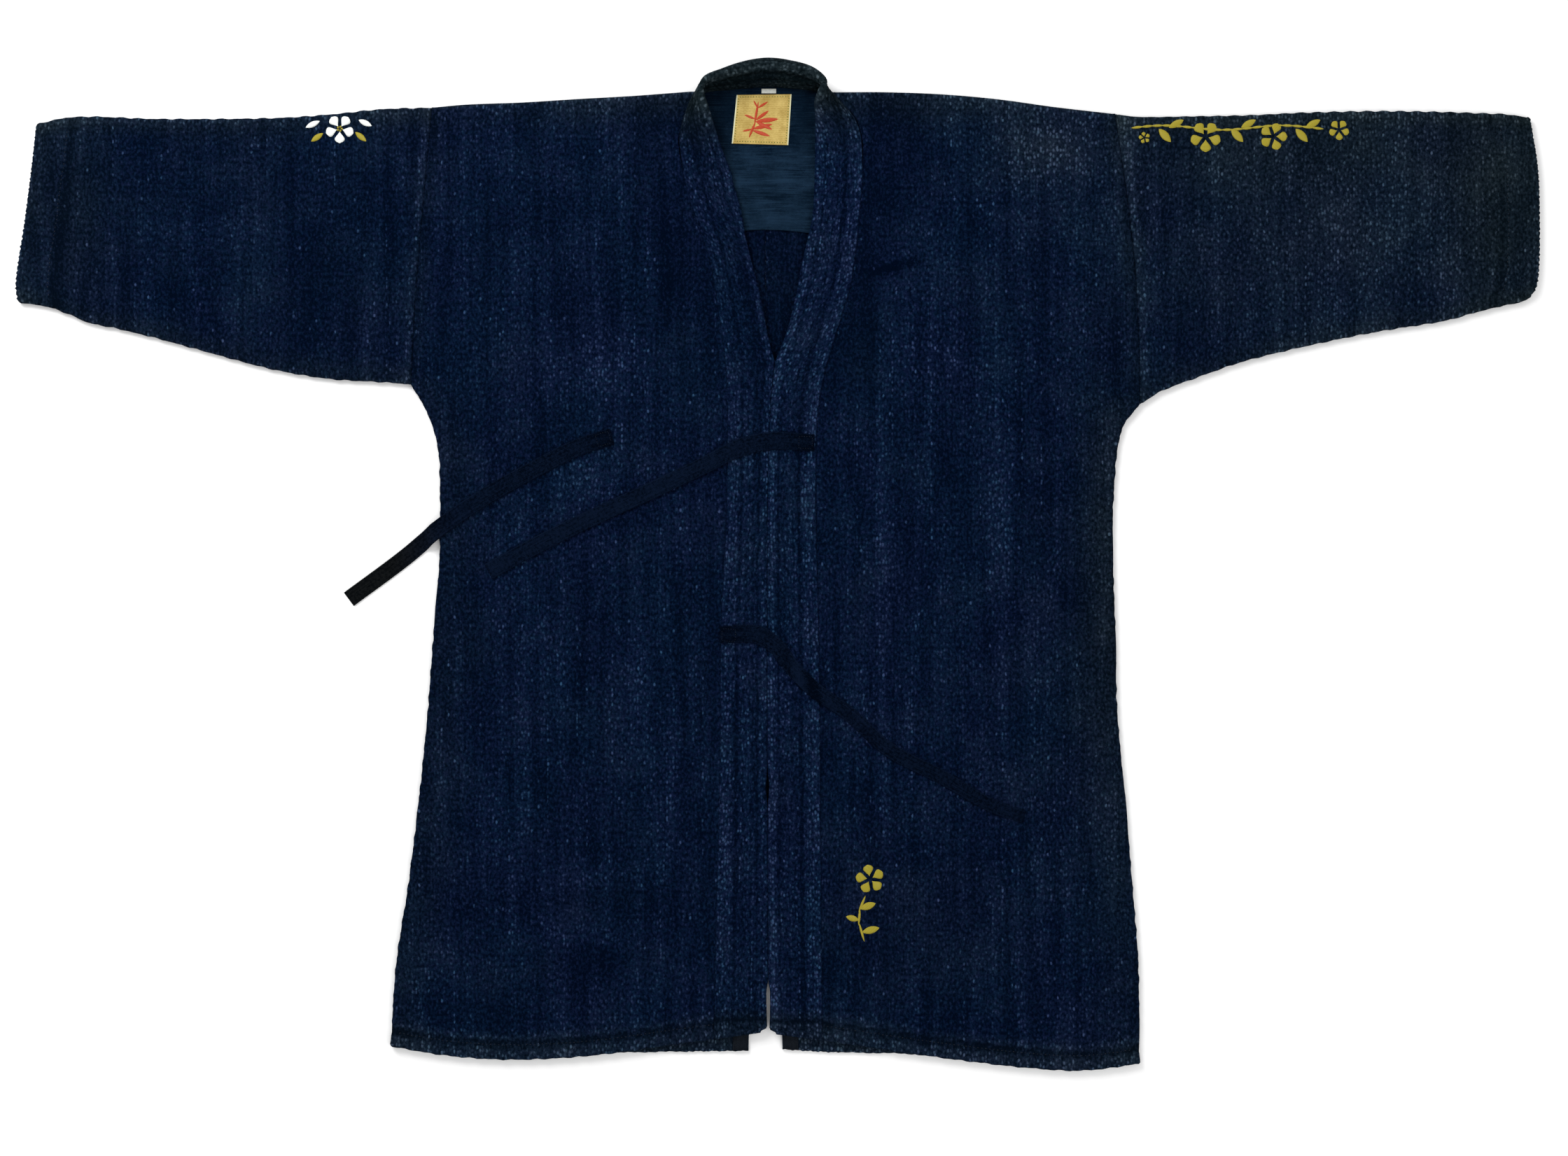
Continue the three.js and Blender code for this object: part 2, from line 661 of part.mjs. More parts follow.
/** One sleeve: a flattened tube, folded along the top, with its seam along the bottom. */
function sleeve(half) {
  const lines = outline(half);
  const cloth = new Cloth();
  const { sign } = lines;
  const cuffStart = 1 - CUFF_DEPTH / SLEEVE_LENGTH;
  const beforeCuff = cuffStart - STEP_WIDTH / SLEEVE_LENGTH;
  const columns = [...steps(0, beforeCuff, SLEEVE_ROW / SLEEVE_LENGTH), beforeCuff, cuffStart, 1];
  const armholeTop = half.armhole[0].y - FOLD_INSET;
  const armhole = (y) => lines.armhole(Math.min(y, armholeTop)) + sign * (SEAM_GAP / 2);
  const low = (x) => lines.sleeveBottom(x) + FOLD_INSET;
  const high = (x) => lines.sleeveTop(x) - FOLD_INSET;

  const rows = columns.map((share) => {
    const raise = share >= cuffStart ? HEM_RAISE : 0;
    const at = (across, past) => {
      const middle = (lines.underarm + half.armhole[0].y) / 2;
      let y = middle;
      let x = 0;
      for (let i = 0; i < SETTLE; i += 1) {
        x = mix(armhole(y), lines.cuff(y), share);
        y = mix(low(x), high(x), across) + past;
      }
      return { x, y };
    };
    const put = (across, past, z, lift) => {
      const { x, y } = at(across, past);
      return cloth.add(x, y, z, lift);
    };
    const seam = (layerZ, lift) => EDGE_TURN.map((_, step) => {
      const point = edgePoint(step, 1, layerZ);
      return put(0, -point.out, point.z, lift);
    });
    const upper = Array.from({ length: SLEEVE_FRONT + 1 }, (_, k) => {
      const across = k / SLEEVE_FRONT;
      const { x, y } = at(across, 0);
      const fromEnds = smooth(share * SLEEVE_LENGTH, 0, PUFF_REACH) * smooth(1 - share, 0, 1 - beforeCuff);
      const z = FRONT_Z + (PUFF + foldHeight(x, y)) * fromEnds * Math.sin(Math.PI * across);
      return cloth.add(x, y, z, raise);
    });
    const fold = HALF_TURN.map((turn) => {
      const z = MIDDLE_Z + FOLD_RADIUS * Math.cos(turn);
      return put(1, FOLD_RADIUS * Math.sin(turn), z, raise * clamp01(Math.cos(turn)));
    });
    const lower = Array.from({ length: SLEEVE_BACK + 1 }, (_, k) => put(1 - k / SLEEVE_BACK, 0, BACK_Z, 0));
    return [...seam(FRONT_Z, 0).reverse(), ...upper, ...fold, ...lower, ...seam(BACK_Z, 0)];
  });
  cloth.weave(sign < 0 ? rows.map((row) => [...row].reverse()) : rows);
  return cloth.solid(WALL);
}

/** The gap between the two ends of the band, each side of the centre line. */
function bandGap(y) {
  return mix(BAND_GAP_TOP, BAND_GAP_HEM, smooth(-y, -BAND_GAP_FROM, -CENTRE_LINE[0].y)) / 2;
}

/** The height of the collar seam at a row of the front panel, which the band's rows share. */
function seamHeight(half, share) {
  const lines = outline(half);
  const top = lines.shoulder(lines.neckPoint) - FOLD_INSET;
  return mix(lines.frontHem(lines.collarSeam(half.frontHem[0].y)), top, share);
}

/** The flat rows of the collar band up one front, from the hem to the side of the neck. */
function bandUpFront(half) {
  const seam = follow(half.collarSeam, "y", "x");
  const free = follow(half.freeEdge, "y", "x");
  const heights = FRONT_ROWS.map((share) => seamHeight(half, share))
    .filter((y, i) => y < BAND_FLAT_TO && (y > 0 || i < 2 || i % 2 === 0));
  return heights.map((y, i) => {
    const corner = i === 0 ? BAND_CORNER : 0;
    const freeX = y > BAND_OPENING_Y ? free(y) : centreLine(y) + half.sign * (bandGap(y) + corner);
    return {
      seamX: seam(y) - half.sign * SEAM_GAP,
      seamY: y,
      freeX,
      freeY: y + corner,
      freeZ: BAND_Z,
      rise: 0,
      stand: 0,
    };
  });
}

/** Rows with one more put smoothly between each pair. */
function refine(rows) {
  const result = [];
  const weights = [-1 / 16, 9 / 16, 9 / 16, -1 / 16];
  for (let i = 0; i + 1 < rows.length; i += 1) {
    const near = [rows[Math.max(i - 1, 0)], rows[i], rows[i + 1], rows[Math.min(i + 2, rows.length - 1)]];
    const between = {};
    for (const key of Object.keys(rows[i])) {
      between[key] = near.reduce((sum, row, k) => sum + row[key] * weights[k], 0);
    }
    result.push(rows[i], between);
  }
  result.push(rows.at(-1));
  return result;
}

/** The collar band: a thick ribbed strip up one front, round the back of the neck and down the other. */
function collarBand() {
  const cloth = new Cloth();
  const rows = [...bandUpFront(RIGHT), ...refine(BAND_AT_NECK), ...bandUpFront(LEFT).reverse()];
  const across = BAND_RIBS * 2;
  const lines = rows.map((row) => {
    const arm = (1 - row.stand) / 3;
    const run = Math.hypot(row.freeX - row.seamX, row.freeY - row.seamY) * arm;
    const level = run / Math.hypot(row.rise, run, 1e-6);
    const seam = new THREE.Vector3(row.seamX, row.seamY, BAND_BASE_Z + (BAND_WALL / 2) * level);
    const free = new THREE.Vector3(row.freeX, row.freeY, row.freeZ);
    const reach = free.clone().sub(seam).multiplyScalar(arm);
    const lift = new THREE.Vector3(0, 0, row.rise);
    const arch = new THREE.CubicBezierCurve3(
      seam,
      seam.clone().add(reach).add(lift),
      free.clone().sub(reach).add(lift),
      free,
    );
    return Array.from({ length: across + 1 }, (_, j) => {
      const point = arch.getPointAt(j / across);
      return cloth.add(point.x, point.y, point.z);
    });
  });
  cloth.weave(lines.map((line) => [...line].reverse()));
  return ribbed(cloth, across);
}

/** The band's solid, thinner between its ribs on both sides. */
function ribbed(cloth, across) {
  const groove = BAND_GROOVE / 2;
  cloth.raise = cloth.points.map((_, i) => ((i % (across + 1)) % 2 === 0 ? -groove : 0));
  return cloth.solid(BAND_WALL);
}

/** Height of the lining's middle surface. */
function liningZ(x, y) {
  const shown = smooth(x, -36, -20) * (1 - smooth(x, 14, 30));
  let height = LINING_Z;
  for (const wrinkle of LINING_WRINKLES) {
    height += shown * wrinkle.height * Math.exp(-(((y - wrinkle.y) / wrinkle.reach) ** 2));
  }
  return height;
}

/** The plain cotton lining across the shoulders, which shows inside the back of the neck. */
function shoulderLining() {
  const cloth = new Cloth();
  const top = (x) => {
    const fromCentre = Math.abs(x - CENTRE_X);
    if (fromCentre > LINING_NECK_HALF) return LINING_SHOULDER_TOP;
    return backNeckline(x) + NECKLINE_MARGIN * smooth(NECK_HALF - fromCentre, 0, NECK_HALF / 2) - 1;
  };
  const bottom = (x) => {
    const fromCentre = Math.min(Math.abs(x - CENTRE_X) / LINING_NECK_HALF, 1);
    return LINING_ROWS[0] - LINING_ARCH * fromCentre ** 2;
  };
  const half = [...steps(0, 54, 13.5), 54, LINING_NECK_HALF, 72, 86, LINING_HALF_WIDTH];
  const places = [...half.slice(1).map((distance) => -distance).reverse(), ...half];
  const shares = LINING_ROWS.map((y) => (y - LINING_ROWS[0]) / (LINING_ROWS.at(-1) - LINING_ROWS[0]));
  cloth.weave(shares.map((share) => places.map((place) => {
    const x = CENTRE_X + place;
    const y = mix(bottom(x), top(x), share);
    return cloth.add(x, y, liningZ(x, y));
  })));
  return cloth.solid(LINING_WALL);
}

/** A flat patch that lies on the lining, given by its four corners. */
function patchOnLining(corners, wall, below, columns) {
  const cloth = new Cloth();
  const [topLeft, topRight, bottomRight, bottomLeft] = corners;
  const at = (u, v, key) => {
    const low = mix(bottomLeft[key], bottomRight[key], u);
    return mix(low, mix(topLeft[key], topRight[key], u), v);
  };
  const shares = Array.from({ length: columns + 1 }, (_, i) => i / columns);
  cloth.weave(shares.map((v) => shares.map((u) => {
    const [x, y] = [at(u, v, "x"), at(u, v, "y")];
    return cloth.add(x, y, liningZ(x, y) + LINING_WALL / 2 + below + wall / 2);
  })));
  return cloth.solid(wall);
}

/** The narrow facing along one edge of the centre-back vent, inside the back panel. */
function ventFacing(half) {
  const cloth = new Cloth();
  const hem = outline(half).backHem;
  const z = WALL + SEAM_GAP + FACING_WALL / 2;
  const rows = [...steps(0, FACING_LENGTH, FACING_ROW), FACING_LENGTH].map((distance) => {
    const edge = (y) => CENTRE_X + half.sign * (centreGap(y) + FACING_SETBACK);
    return [0, 1].map((side) => {
      let y = half.backHem[0].y + distance;
      let x = edge(y);
      for (let i = 0; i < SETTLE; i += 1) {
        x = edge(y) + half.sign * side * FACING_WIDTH;
        y = hem(x) + FACING_SETBACK + distance;
      }
      return cloth.add(x, y, z);
    });
  });
  cloth.weave(half.sign < 0 ? rows.map((row) => [...row].reverse()) : rows);
  return cloth.solid(FACING_WALL);
}

/** The height of the topmost solid under a place, or of the floor. */
function topOf(meshes, x, y) {
  const ray = new THREE.Raycaster(new THREE.Vector3(x, y, 100), new THREE.Vector3(0, 0, -1));
  const [hit] = ray.intersectObjects(meshes);
  return hit ? hit.point.z : 0;
}

const TIE_PROBES = [-0.56, -0.28, 0, 0.28, 0.56];

/** One tie: a flat strip that lies on whatever is under it and bridges its steps. */
function tie(rows, meshes) {
  const path = new THREE.CatmullRomCurve3(rows.map(({ x, y, width }) => new THREE.Vector3(x, y, width)));
  const count = Math.round(path.getLength() / TIE_STEP);
  const stations = Array.from({ length: count + 1 }, (_, i) => {
    const { x, y, z: width } = path.getPointAt(i / count);
    const ahead = path.getTangentAt(i / count).setZ(0).normalize();
    return { x, y, width, ahead, side: new THREE.Vector3(-ahead.y, ahead.x, 0) };
  });
  const heights = stations.map(({ x, y, width, ahead, side }) => {
    let highest = 0;
    for (const across of TIE_PROBES) {
      for (const along of TIE_PROBES) {
        const place = new THREE.Vector3(x, y, 0)
          .addScaledVector(side, across * width)
          .addScaledVector(ahead, along * TIE_STEP);
        highest = Math.max(highest, topOf(meshes, place.x, place.y));
      }
    }
    return highest > 0 ? highest + TIE_LIFT : 0;
  });
  const cloth = new Cloth();
  cloth.weave(stations.map(({ x, y, width, side }, i) => {
    const z = heights[i] + TIE_WALL / 2;
    return [0.5, 0, -0.5].map((across) => {
      return cloth.add(x + side.x * across * width, y + side.y * across * width, z);
    });
  }));
  return cloth.solid(TIE_WALL);
}

const LABEL_CORNERS = [
  { x: -37.5, y: 420.6 },
  { x: 12.4, y: 421.6 },
  { x: 9.6, y: 377.7 },
  { x: -41.4, y: 379.2 },
];
const TAG_CORNERS = [
  { x: -15, y: 426.4 },
  { x: -1.5, y: 426.4 },
  { x: -1.5, y: 422.4 },
  { x: -15, y: 422.4 },
];

const garment = new THREE.Group();
const panels = [
  piece("body_panel_right", bodyPanel(RIGHT), CLOTH),
  piece("body_panel_left", bodyPanel(LEFT), CLOTH),
];
const band = piece("collar_band", collarBand(), CLOTH);
garment.add(...panels, band);
garment.add(piece("sleeve_right", sleeve(RIGHT), CLOTH));
garment.add(piece("sleeve_left", sleeve(LEFT), CLOTH));
garment.add(piece("shoulder_lining", shoulderLining(), LINING_CLOTH));
garment.add(piece("neck_label", patchOnLining(LABEL_CORNERS, LABEL_WALL, SEAM_GAP, 3), LABEL_CLOTH));
garment.add(piece("size_tag", patchOnLining(TAG_CORNERS, TAG_WALL, SEAM_GAP, 1), TAG_CLOTH));
garment.add(piece("vent_facing_right", ventFacing(RIGHT), TAPE_CLOTH));
garment.add(piece("vent_facing_left", ventFacing(LEFT), TAPE_CLOTH));
for (const [name, rows] of Object.entries(TIES)) {
  garment.add(piece(name, tie(rows, [...panels, band]), TIE_CLOTH));
}

export default garment;
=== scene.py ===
"""A noragi, a work jacket of dark indigo rice-grain weave, laid flat with its front up.

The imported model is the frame. Every cloth node is replaced by a finer shell on the same outline,
with its folds, ribs, stitches and weave. Sizes and places are in millimetres, in the frame of the
model: +Z up, +Y towards the neck and +X towards the wearer's left. Meshes are made in metres.
"""
import math
from collections import namedtuple

import bpy
import numpy as np
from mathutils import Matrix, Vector
from mathutils.bvhtree import BVHTree


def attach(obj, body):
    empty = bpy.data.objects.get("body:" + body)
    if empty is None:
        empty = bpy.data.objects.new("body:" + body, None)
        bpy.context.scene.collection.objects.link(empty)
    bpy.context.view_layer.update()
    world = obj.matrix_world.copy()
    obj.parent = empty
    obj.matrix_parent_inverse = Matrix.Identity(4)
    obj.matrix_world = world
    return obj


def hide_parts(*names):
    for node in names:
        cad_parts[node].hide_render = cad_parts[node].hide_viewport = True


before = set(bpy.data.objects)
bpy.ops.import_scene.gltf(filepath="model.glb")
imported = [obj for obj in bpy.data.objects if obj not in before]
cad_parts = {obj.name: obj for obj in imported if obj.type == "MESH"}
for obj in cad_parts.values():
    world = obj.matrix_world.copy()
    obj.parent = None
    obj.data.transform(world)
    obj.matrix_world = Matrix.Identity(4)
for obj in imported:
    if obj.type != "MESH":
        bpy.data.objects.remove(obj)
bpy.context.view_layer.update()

MM = 0.001
X, Y = 0, 1

# Cloth, layers and seams
WALL = 2.4
LAYER_GAP = 1.7
SEAM_GAP = 0.08
LAY_GAP = 0.3
HEM_RAISE = 0.8
HEM_DEPTH = 13
CUFF_DEPTH = 32
STEP_WIDTH = 2
PUFF = 1.2
PUFF_REACH = 70
BACK_Z = WALL / 2
FRONT_Z = BACK_Z + WALL + LAYER_GAP
MIDDLE_Z = (BACK_Z + FRONT_Z) / 2
FOLD_RADIUS = (FRONT_Z - BACK_Z) / 2
FOLD_INSET = FOLD_RADIUS + WALL / 2

# Lengths along the cloth, and the spacing of the points
PANEL_LENGTH = 850
SLEEVE_LENGTH = 350
FRONT_CELL = 3.4
BACK_CELL = 9
UNDERARM_FROM = 500
UNDERARM_TO = 612
UNDERARM_CELL = 3.5

# Lining, label and facings
LINING_WALL = 1
LINING_Z = WALL + 0.35 + LINING_WALL / 2
LINING_HALF_WIDTH = 138
LINING_NECK_HALF = 64
LINING_SHOULDER_TOP = 412
LINING_LOW = 301.5
LINING_HIGH = 433
LINING_ARCH = 8
LINING_CELL = 2.2
LABEL_WALL = 0.8
LABEL_WIDTH = 49.7
TAG_WALL = 0.6
FACING_WALL = 1
FACING_WIDTH = 13.5
FACING_LENGTH = 180
FACING_SETBACK = 0.8

# Collar band
BAND_WALL = 5
BAND_GROOVE = 1.6
BAND_RIBS = 6
BAND_Z = FRONT_Z - WALL / 2 + BAND_WALL / 2
BAND_BASE_Z = BAND_Z - BAND_WALL / 2
BAND_FOOT_DROP = 1.4
BAND_OVERLAP = 0.5
BAND_OPENING_Y = 183
BAND_FLAT_TO = 350
BAND_CORNER = 6
BAND_CELL = 3
BAND_ACROSS = 36

# Ties
TIE_WALL = 1.5
TIE_STEP = 2.5
TIE_LIFT = 0.35

# Places on the body
CENTRE_X = -11
NECK_HALF = 57
VENT_TOP = -260
VENT_LENGTH = 180
VENT_HALF_GAP = 15.3
UNDERARM_TURN = 16
NECKLINE_MARGIN = 5
NECKLINE_TURN = 12

# The camera looks straight down, as the photograph does
CAMERA_X = 5.7
CAMERA_Y = -12.3
CAMERA_HEIGHT = 1966
CAMERA_LENS = 50

# The outline of each half, as (x, y) points
RIGHT_EDGES = {
    "armhole": [(-311.2, 412), (-317.5, 342), (-325.7, 245), (-330.1, 162)],
    "side": [
        (-330.1, 162), (-318.5, 142.7), (-313.1, 130), (-308.7, 117), (-304.9, 92), (-304.9, 4),
        (-310, -59), (-315.6, -134), (-323.2, -210), (-332.6, -286), (-344, -361), (-348.4, -434),
    ],
    "collar_seam": [
        (-56.7, -427), (-54.8, -311), (-51.7, -185), (-50.4, -59), (-45.4, 54), (-44.7, 155),
        (-47.9, 193), (-52.9, 228), (-61.1, 275), (-76, 319), (-86.9, 363), (-89.5, 382),
        (-87.6, 398), (-81.9, 414), (-78.8, 426),
    ],
    "neck_reach": [(0, 380), (1.4, 397), (1.8, 411), (4.2, 420), (7.5, 427)],
    "free_edge": [
        (-2.6, 183), (-8.2, 204), (-16.4, 245), (-28.4, 293), (-32.5, 317), (-40.5, 345),
    ],
    "shoulder": [
        (-311.2, 411.7), (-280, 414.5), (-230, 416.4), (-180, 419.5), (-129, 422.4), (-78.8, 426.2),
    ],
    "front_hem": [
        (-348.4, -433.8), (-305.5, -441.3), (-255, -445.7), (-205, -445.1), (-155, -441),
        (-94.5, -432.5), (-56.7, -427.5),
    ],
    "back_hem": [
        (-348.4, -433.8), (-305.5, -441.3), (-255, -445.7), (-205, -445.1), (-155, -441),
        (-79, -439.4), (-26.5, -438.8),
    ],
    "sleeve_top": [
        (-311.2, 411.7), (-356, 410.4), (-406, 405.4), (-457, 402.3), (-557.5, 401.6),
        (-633, 403.5), (-667.2, 397.2),
    ],
    "sleeve_bottom": [
        (-330.1, 162.2), (-356, 164.1), (-406, 167.3), (-457, 176.1), (-507, 189.3),
        (-557.5, 203.2), (-593, 212), (-621, 217.7), (-633, 223), (-656, 231.5), (-684, 236),
    ],
    "cuff": [(-667.4, 397), (-671.8, 357), (-678.4, 306), (-686, 253), (-684, 235)],
}
LEFT_EDGES = {
    "armhole": [
        (303.7, 406), (310, 364), (318.2, 303), (323.4, 245), (325.6, 190), (326.2, 144),
    ],
    "side": [
        (326.2, 144), (314, 130), (308.7, 117), (304.9, 92), (301.8, 29), (304.3, -59),
        (306.2, -134), (313.1, -210), (319.4, -286), (325.1, -361), (325.7, -450),
    ],
    "collar_seam": [
        (39.8, -429), (38.3, -248), (36.5, -59), (34, 54), (35.3, 130), (41, 168), (51.7, 206),
        (66.2, 256), (73.7, 319), (76.9, 369), (75.6, 388), (71.2, 404), (62.4, 416), (54.8, 425.6),
    ],
    "neck_reach": [(0, 380), (1.6, 400), (4.5, 412), (7, 420), (9, 427)],
    "free_edge": [
        (-2.2, 183), (6.3, 204), (13.9, 231), (23.3, 278), (30.9, 312), (33.2, 345),
    ],
    "shoulder": [
        (54.8, 425.6), (98, 425.6), (148, 423.7), (198, 419.3), (249, 412.3), (303.7, 406),
    ],
    "front_hem": [
        (39.8, -428.6), (75, -433.8), (115, -439.8), (173, -447.6), (224, -453.3),
        (274, -455.8), (325.7, -449.8),
    ],
    "back_hem": [
        (4.4, -437.5), (47, -440), (123, -441.9), (173, -447.6), (224, -453.3), (274, -455.8),
        (325.7, -449.8),
    ],
    "sleeve_top": [
        (303.7, 406), (324, 403.5), (375, 404), (425, 405), (476, 407.3), (551, 408.6),
        (652, 406), (677.2, 402.9),
    ],
    "sleeve_bottom": [
        (326.2, 144), (344, 155.3), (375, 167.3), (425, 184.3), (526, 207), (604, 220),
        (627, 226.5), (655, 233.4), (668, 235.6), (677, 240),
    ],
    "cuff": [(677.2, 403), (684.4, 357), (686, 313), (685.5, 269), (682.9, 249), (677, 240)],
}

# The line where the two ends of the band meet, and the gap that opens at the hem
CENTRE_LINE = [(-8.4, -421), (-8.8, -279), (-9.4, -90), (-8.8, 80), (-6.3, 143), (-2.4, 183)]
BAND_GAP_TOP = 0.04
BAND_GAP_OPEN = 3.2
BAND_GAP_HEM = 2
BAND_GAP_FROM = -373

# The back neckline, where the lining ends against the foot of the standing collar
BACK_NECKLINE = [
    (-78.8, 423), (-62, 422.5), (-38, 426), (-11, 429.3), (18, 426.5), (40, 422.5), (54.8, 422.4),
]

# Round the neck the band stands up from its seam and rolls outward at the back. rise lifts its
# middle into an arch, and stand is 0 where it lies flat and 1 where it stands.
BandRow = namedtuple("BandRow", "seam_x seam_y free_x free_y free_z rise stand")
BAND_AT_NECK = [
    BandRow(-86.4, 366, -47.5, 367, 10, 1, 0.05),
    BandRow(-87.8, 382, -53.5, 383, 15, 4, 0.25),
    BandRow(-84.4, 397, -59.5, 397, 20, 8, 0.6),
    BandRow(-79.6, 411, -64.5, 411, 22, 10, 0.9),
    BandRow(-74.5, 421, -68, 423, 22, 11, 1),
    BandRow(-65.5, 427.5, -64, 434, 20, 13, 1),
    BandRow(-50, 429.5, -50, 440.6, 17, 17, 1),
    BandRow(-31, 431, -31, 447.6, 15, 17, 1),
    BandRow(-11, 432.5, -9, 451.2, 14, 17, 1),
    BandRow(8, 431.5, 12, 448.6, 14, 17, 1),
    BandRow(25, 430, 30, 443, 15, 16, 1),
    BandRow(39, 427.5, 41.5, 432, 19, 16, 1),
    BandRow(49.5, 421.5, 38, 422, 22, 12, 1),
    BandRow(58, 412.5, 34.5, 413, 19, 8, 0.75),
    BandRow(67.5, 402, 34, 402, 15, 4, 0.4),
    BandRow(74.2, 387, 33.6, 387, 11, 2, 0.15),
    BandRow(76.2, 368, 33.6, 368, 8, 0, 0),
]

# Soft folds of the upper layer: the ends of each, its half width and its height
Fold = namedtuple("Fold", "x1 y1 x2 y2 reach height")
FOLDS = [
    Fold(76, 259, 135, 273, 9, 1.4),
    Fold(-248, -295, -125, -280, 15, 1),
    Fold(-248, -343, -148, -327, 15, 1),
    Fold(-240, 100, -150, 190, 26, 0.8),
    Fold(215, -20, 205, -330, 24, 0.7),
    Fold(100, 30, 106, -150, 16, 0.6),
    Fold(-400, 205, -340, 330, 20, 0.8),
    Fold(-560, 260, -420, 300, 18, 0.7),
    Fold(400, 215, 345, 320, 20, 0.8),
    Fold(450, 290, 610, 330, 18, 0.7),
    Fold(70, 250, 142, 264, 4, -0.9),
    Fold(-240, -318, -140, -303, 8, -0.5),
    Fold(-92, 262, -98, 236, 3.5, -0.8),
    Fold(-96, 232, -101, 214, 3.5, -0.7),
    Fold(-300, 150, -262, 235, 7, 0.7),
    Fold(-290, 128, -236, 172, 6, -0.5),
    Fold(300, 128, 262, 226, 8, 0.7),
    Fold(288, 112, 240, 160, 6, -0.5),
    Fold(-150, -40, -138, -210, 12, 0.5),
    Fold(-215, 20, -228, -190, 16, -0.5),
    Fold(150, -60, 162, -300, 14, -0.5),
    Fold(262, 40, 268, -240, 13, 0.5),
    Fold(-120, 330, -190, 250, 14, 0.6),
    Fold(110, 350, 196, 262, 15, 0.6),
    Fold(180, 392, 214, 250, 9, 0.5),
    Fold(-348, 190, -372, 300, 9, -0.6),
    Fold(-470, 215, -430, 330, 14, 0.5),
    Fold(-520, 230, -640, 262, 9, 0.5),
    Fold(-600, 380, -480, 350, 12, -0.5),
    Fold(352, 182, 378, 300, 9, -0.6),
    Fold(480, 222, 452, 352, 15, 0.5),
    Fold(520, 240, 640, 262, 9, 0.5),
    Fold(610, 372, 500, 352, 12, -0.5),
]

# Painted shade along folds, darker lines, and painted highlight, paler ones, where height is below 0
FOLD_LIGHT_AND_SHADE = [
    Fold(76, 259, 136, 276, 4, 0.75),
    Fold(78, 262, 112, 270, 2.2, 0.5),
    Fold(-92, 262, -98, 236, 3.5, 0.3),
    Fold(-96, 232, -101, 214, 3.5, 0.3),
    Fold(-236, -306, -66, -296, 12, 0.17),
    Fold(-240, -360, -90, -350, 12, 0.17),
    Fold(-246, -284, -90, -274, 10, -0.13),
    Fold(-246, -338, -110, -328, 10, -0.13),
    Fold(-225, 150, -140, 205, 16, -0.12),
    Fold(-262, 60, -190, 150, 18, 0.12),
]

# The middle lines of the ties as (x, y, width), from the sewn end to the free end
TIES = {
    "tie_upper_left": [
        (33, 109.3, 15), (-9, 110.6, 16), (-29, 106.5, 16), (-67, 88.5, 15), (-111, 67.5, 15),
        (-176, 37.5, 15), (-219, 16, 15), (-260, -6.5, 15),
    ],
    "tie_lower_right": [
        (-52, -63.3, 15), (-14.5, -64.6, 16), (-1, -74, 15), (11, -90, 14), (31, -111, 14),
        (62.4, -133, 13), (98, -165, 13), (149, -192, 12.5), (194, -217.5, 12), (221, -227, 11),
    ],
    "tie_outer_right": [
        (-149, 115, 15), (-172, 108, 15), (-219, 85.4, 15), (-263, 60.8, 15), (-304, 33, 15),
        (-334, 8, 15), (-387, -31.5, 15),
    ],
}

LABEL_CORNERS = [(-37, 423), (12.6, 423.6), (9.6, 377.7), (-41.4, 379.2)]
TAG_CORNERS = [(-14.6, 428.6), (-1.4, 428.6), (-1.4, 424.4), (-14.6, 424.4)]

# A point whose x and y depend on each other settles in a few rounds
SETTLE = 6


def smooth(value, start, end):
    """0 before start, 1 after end and a smooth step between them."""
    share = np.clip((value - start) / (end - start), 0, 1)
    return share * share * (3 - 2 * share)


def through(at, value, slope, place):
    """A smooth curve at a place, through values that lie at rising places with a slope each."""
    i = np.searchsorted(at[1:-1], place, side="left")
    span = at[i + 1] - at[i]
    t = np.clip((place - at[i]) / span, 0, 1)
    bend = (1 - t) ** 2 * t * slope[i] - t**2 * (1 - t) * slope[i + 1]
    return value[i] + (value[i + 1] - value[i]) * t * t * (3 - 2 * t) + bend * span


def follow(points, by):
    """A smooth curve through (x, y) points, as a function of one coordinate that gives the other."""
    table = np.array(sorted(points, key=lambda point: point[by]), float)
    at, value = table[:, by], table[:, 1 - by]
    last = len(at) - 1
    before = np.maximum(np.arange(last + 1) - 1, 0)
    after = np.minimum(np.arange(last + 1) + 1, last)
    slope = (value[after] - value[before]) / (at[after] - at[before])
    return lambda place: through(at, value, slope, place)


def lengths(points):
    """How far along a line each of its points lies."""
    return np.r_[0, np.cumsum(np.linalg.norm(np.diff(points, axis=0), axis=1))]


def steps(start, end, cell):
    """Numbers from start to end in equal steps no longer than cell, with both ends."""
    return np.linspace(start, end, math.ceil(abs(end - start) / cell) + 1)


def edged_steps(length, rim, inset, cell):
    """Numbers from 0 to length in equal steps, with the finer ones of a rim at both ends."""
    rim = np.array(rim)
    return np.unique(np.r_[rim, steps(inset, length - inset, cell), length - rim])


# The loops of the weave make each edge of the cloth a little uneven
FUZZ = 0.3
FUZZ_TURNS = (1.33, 2.17)


def fuzzy(curve):
    """A curve with the small unevenness of the cloth's edge added."""

    def uneven(place):
        return curve(place) + FUZZ * sum(np.sin(turn * place) for turn in FUZZ_TURNS)

    return uneven


# The edges that run across the garment, and those that the loops of the weave make uneven
EDGES_ACROSS = {"shoulder", "front_hem", "back_hem", "sleeve_top", "sleeve_bottom"}
UNEVEN_EDGES = {"side", "cuff", "front_hem", "back_hem", "sleeve_top", "sleeve_bottom"}


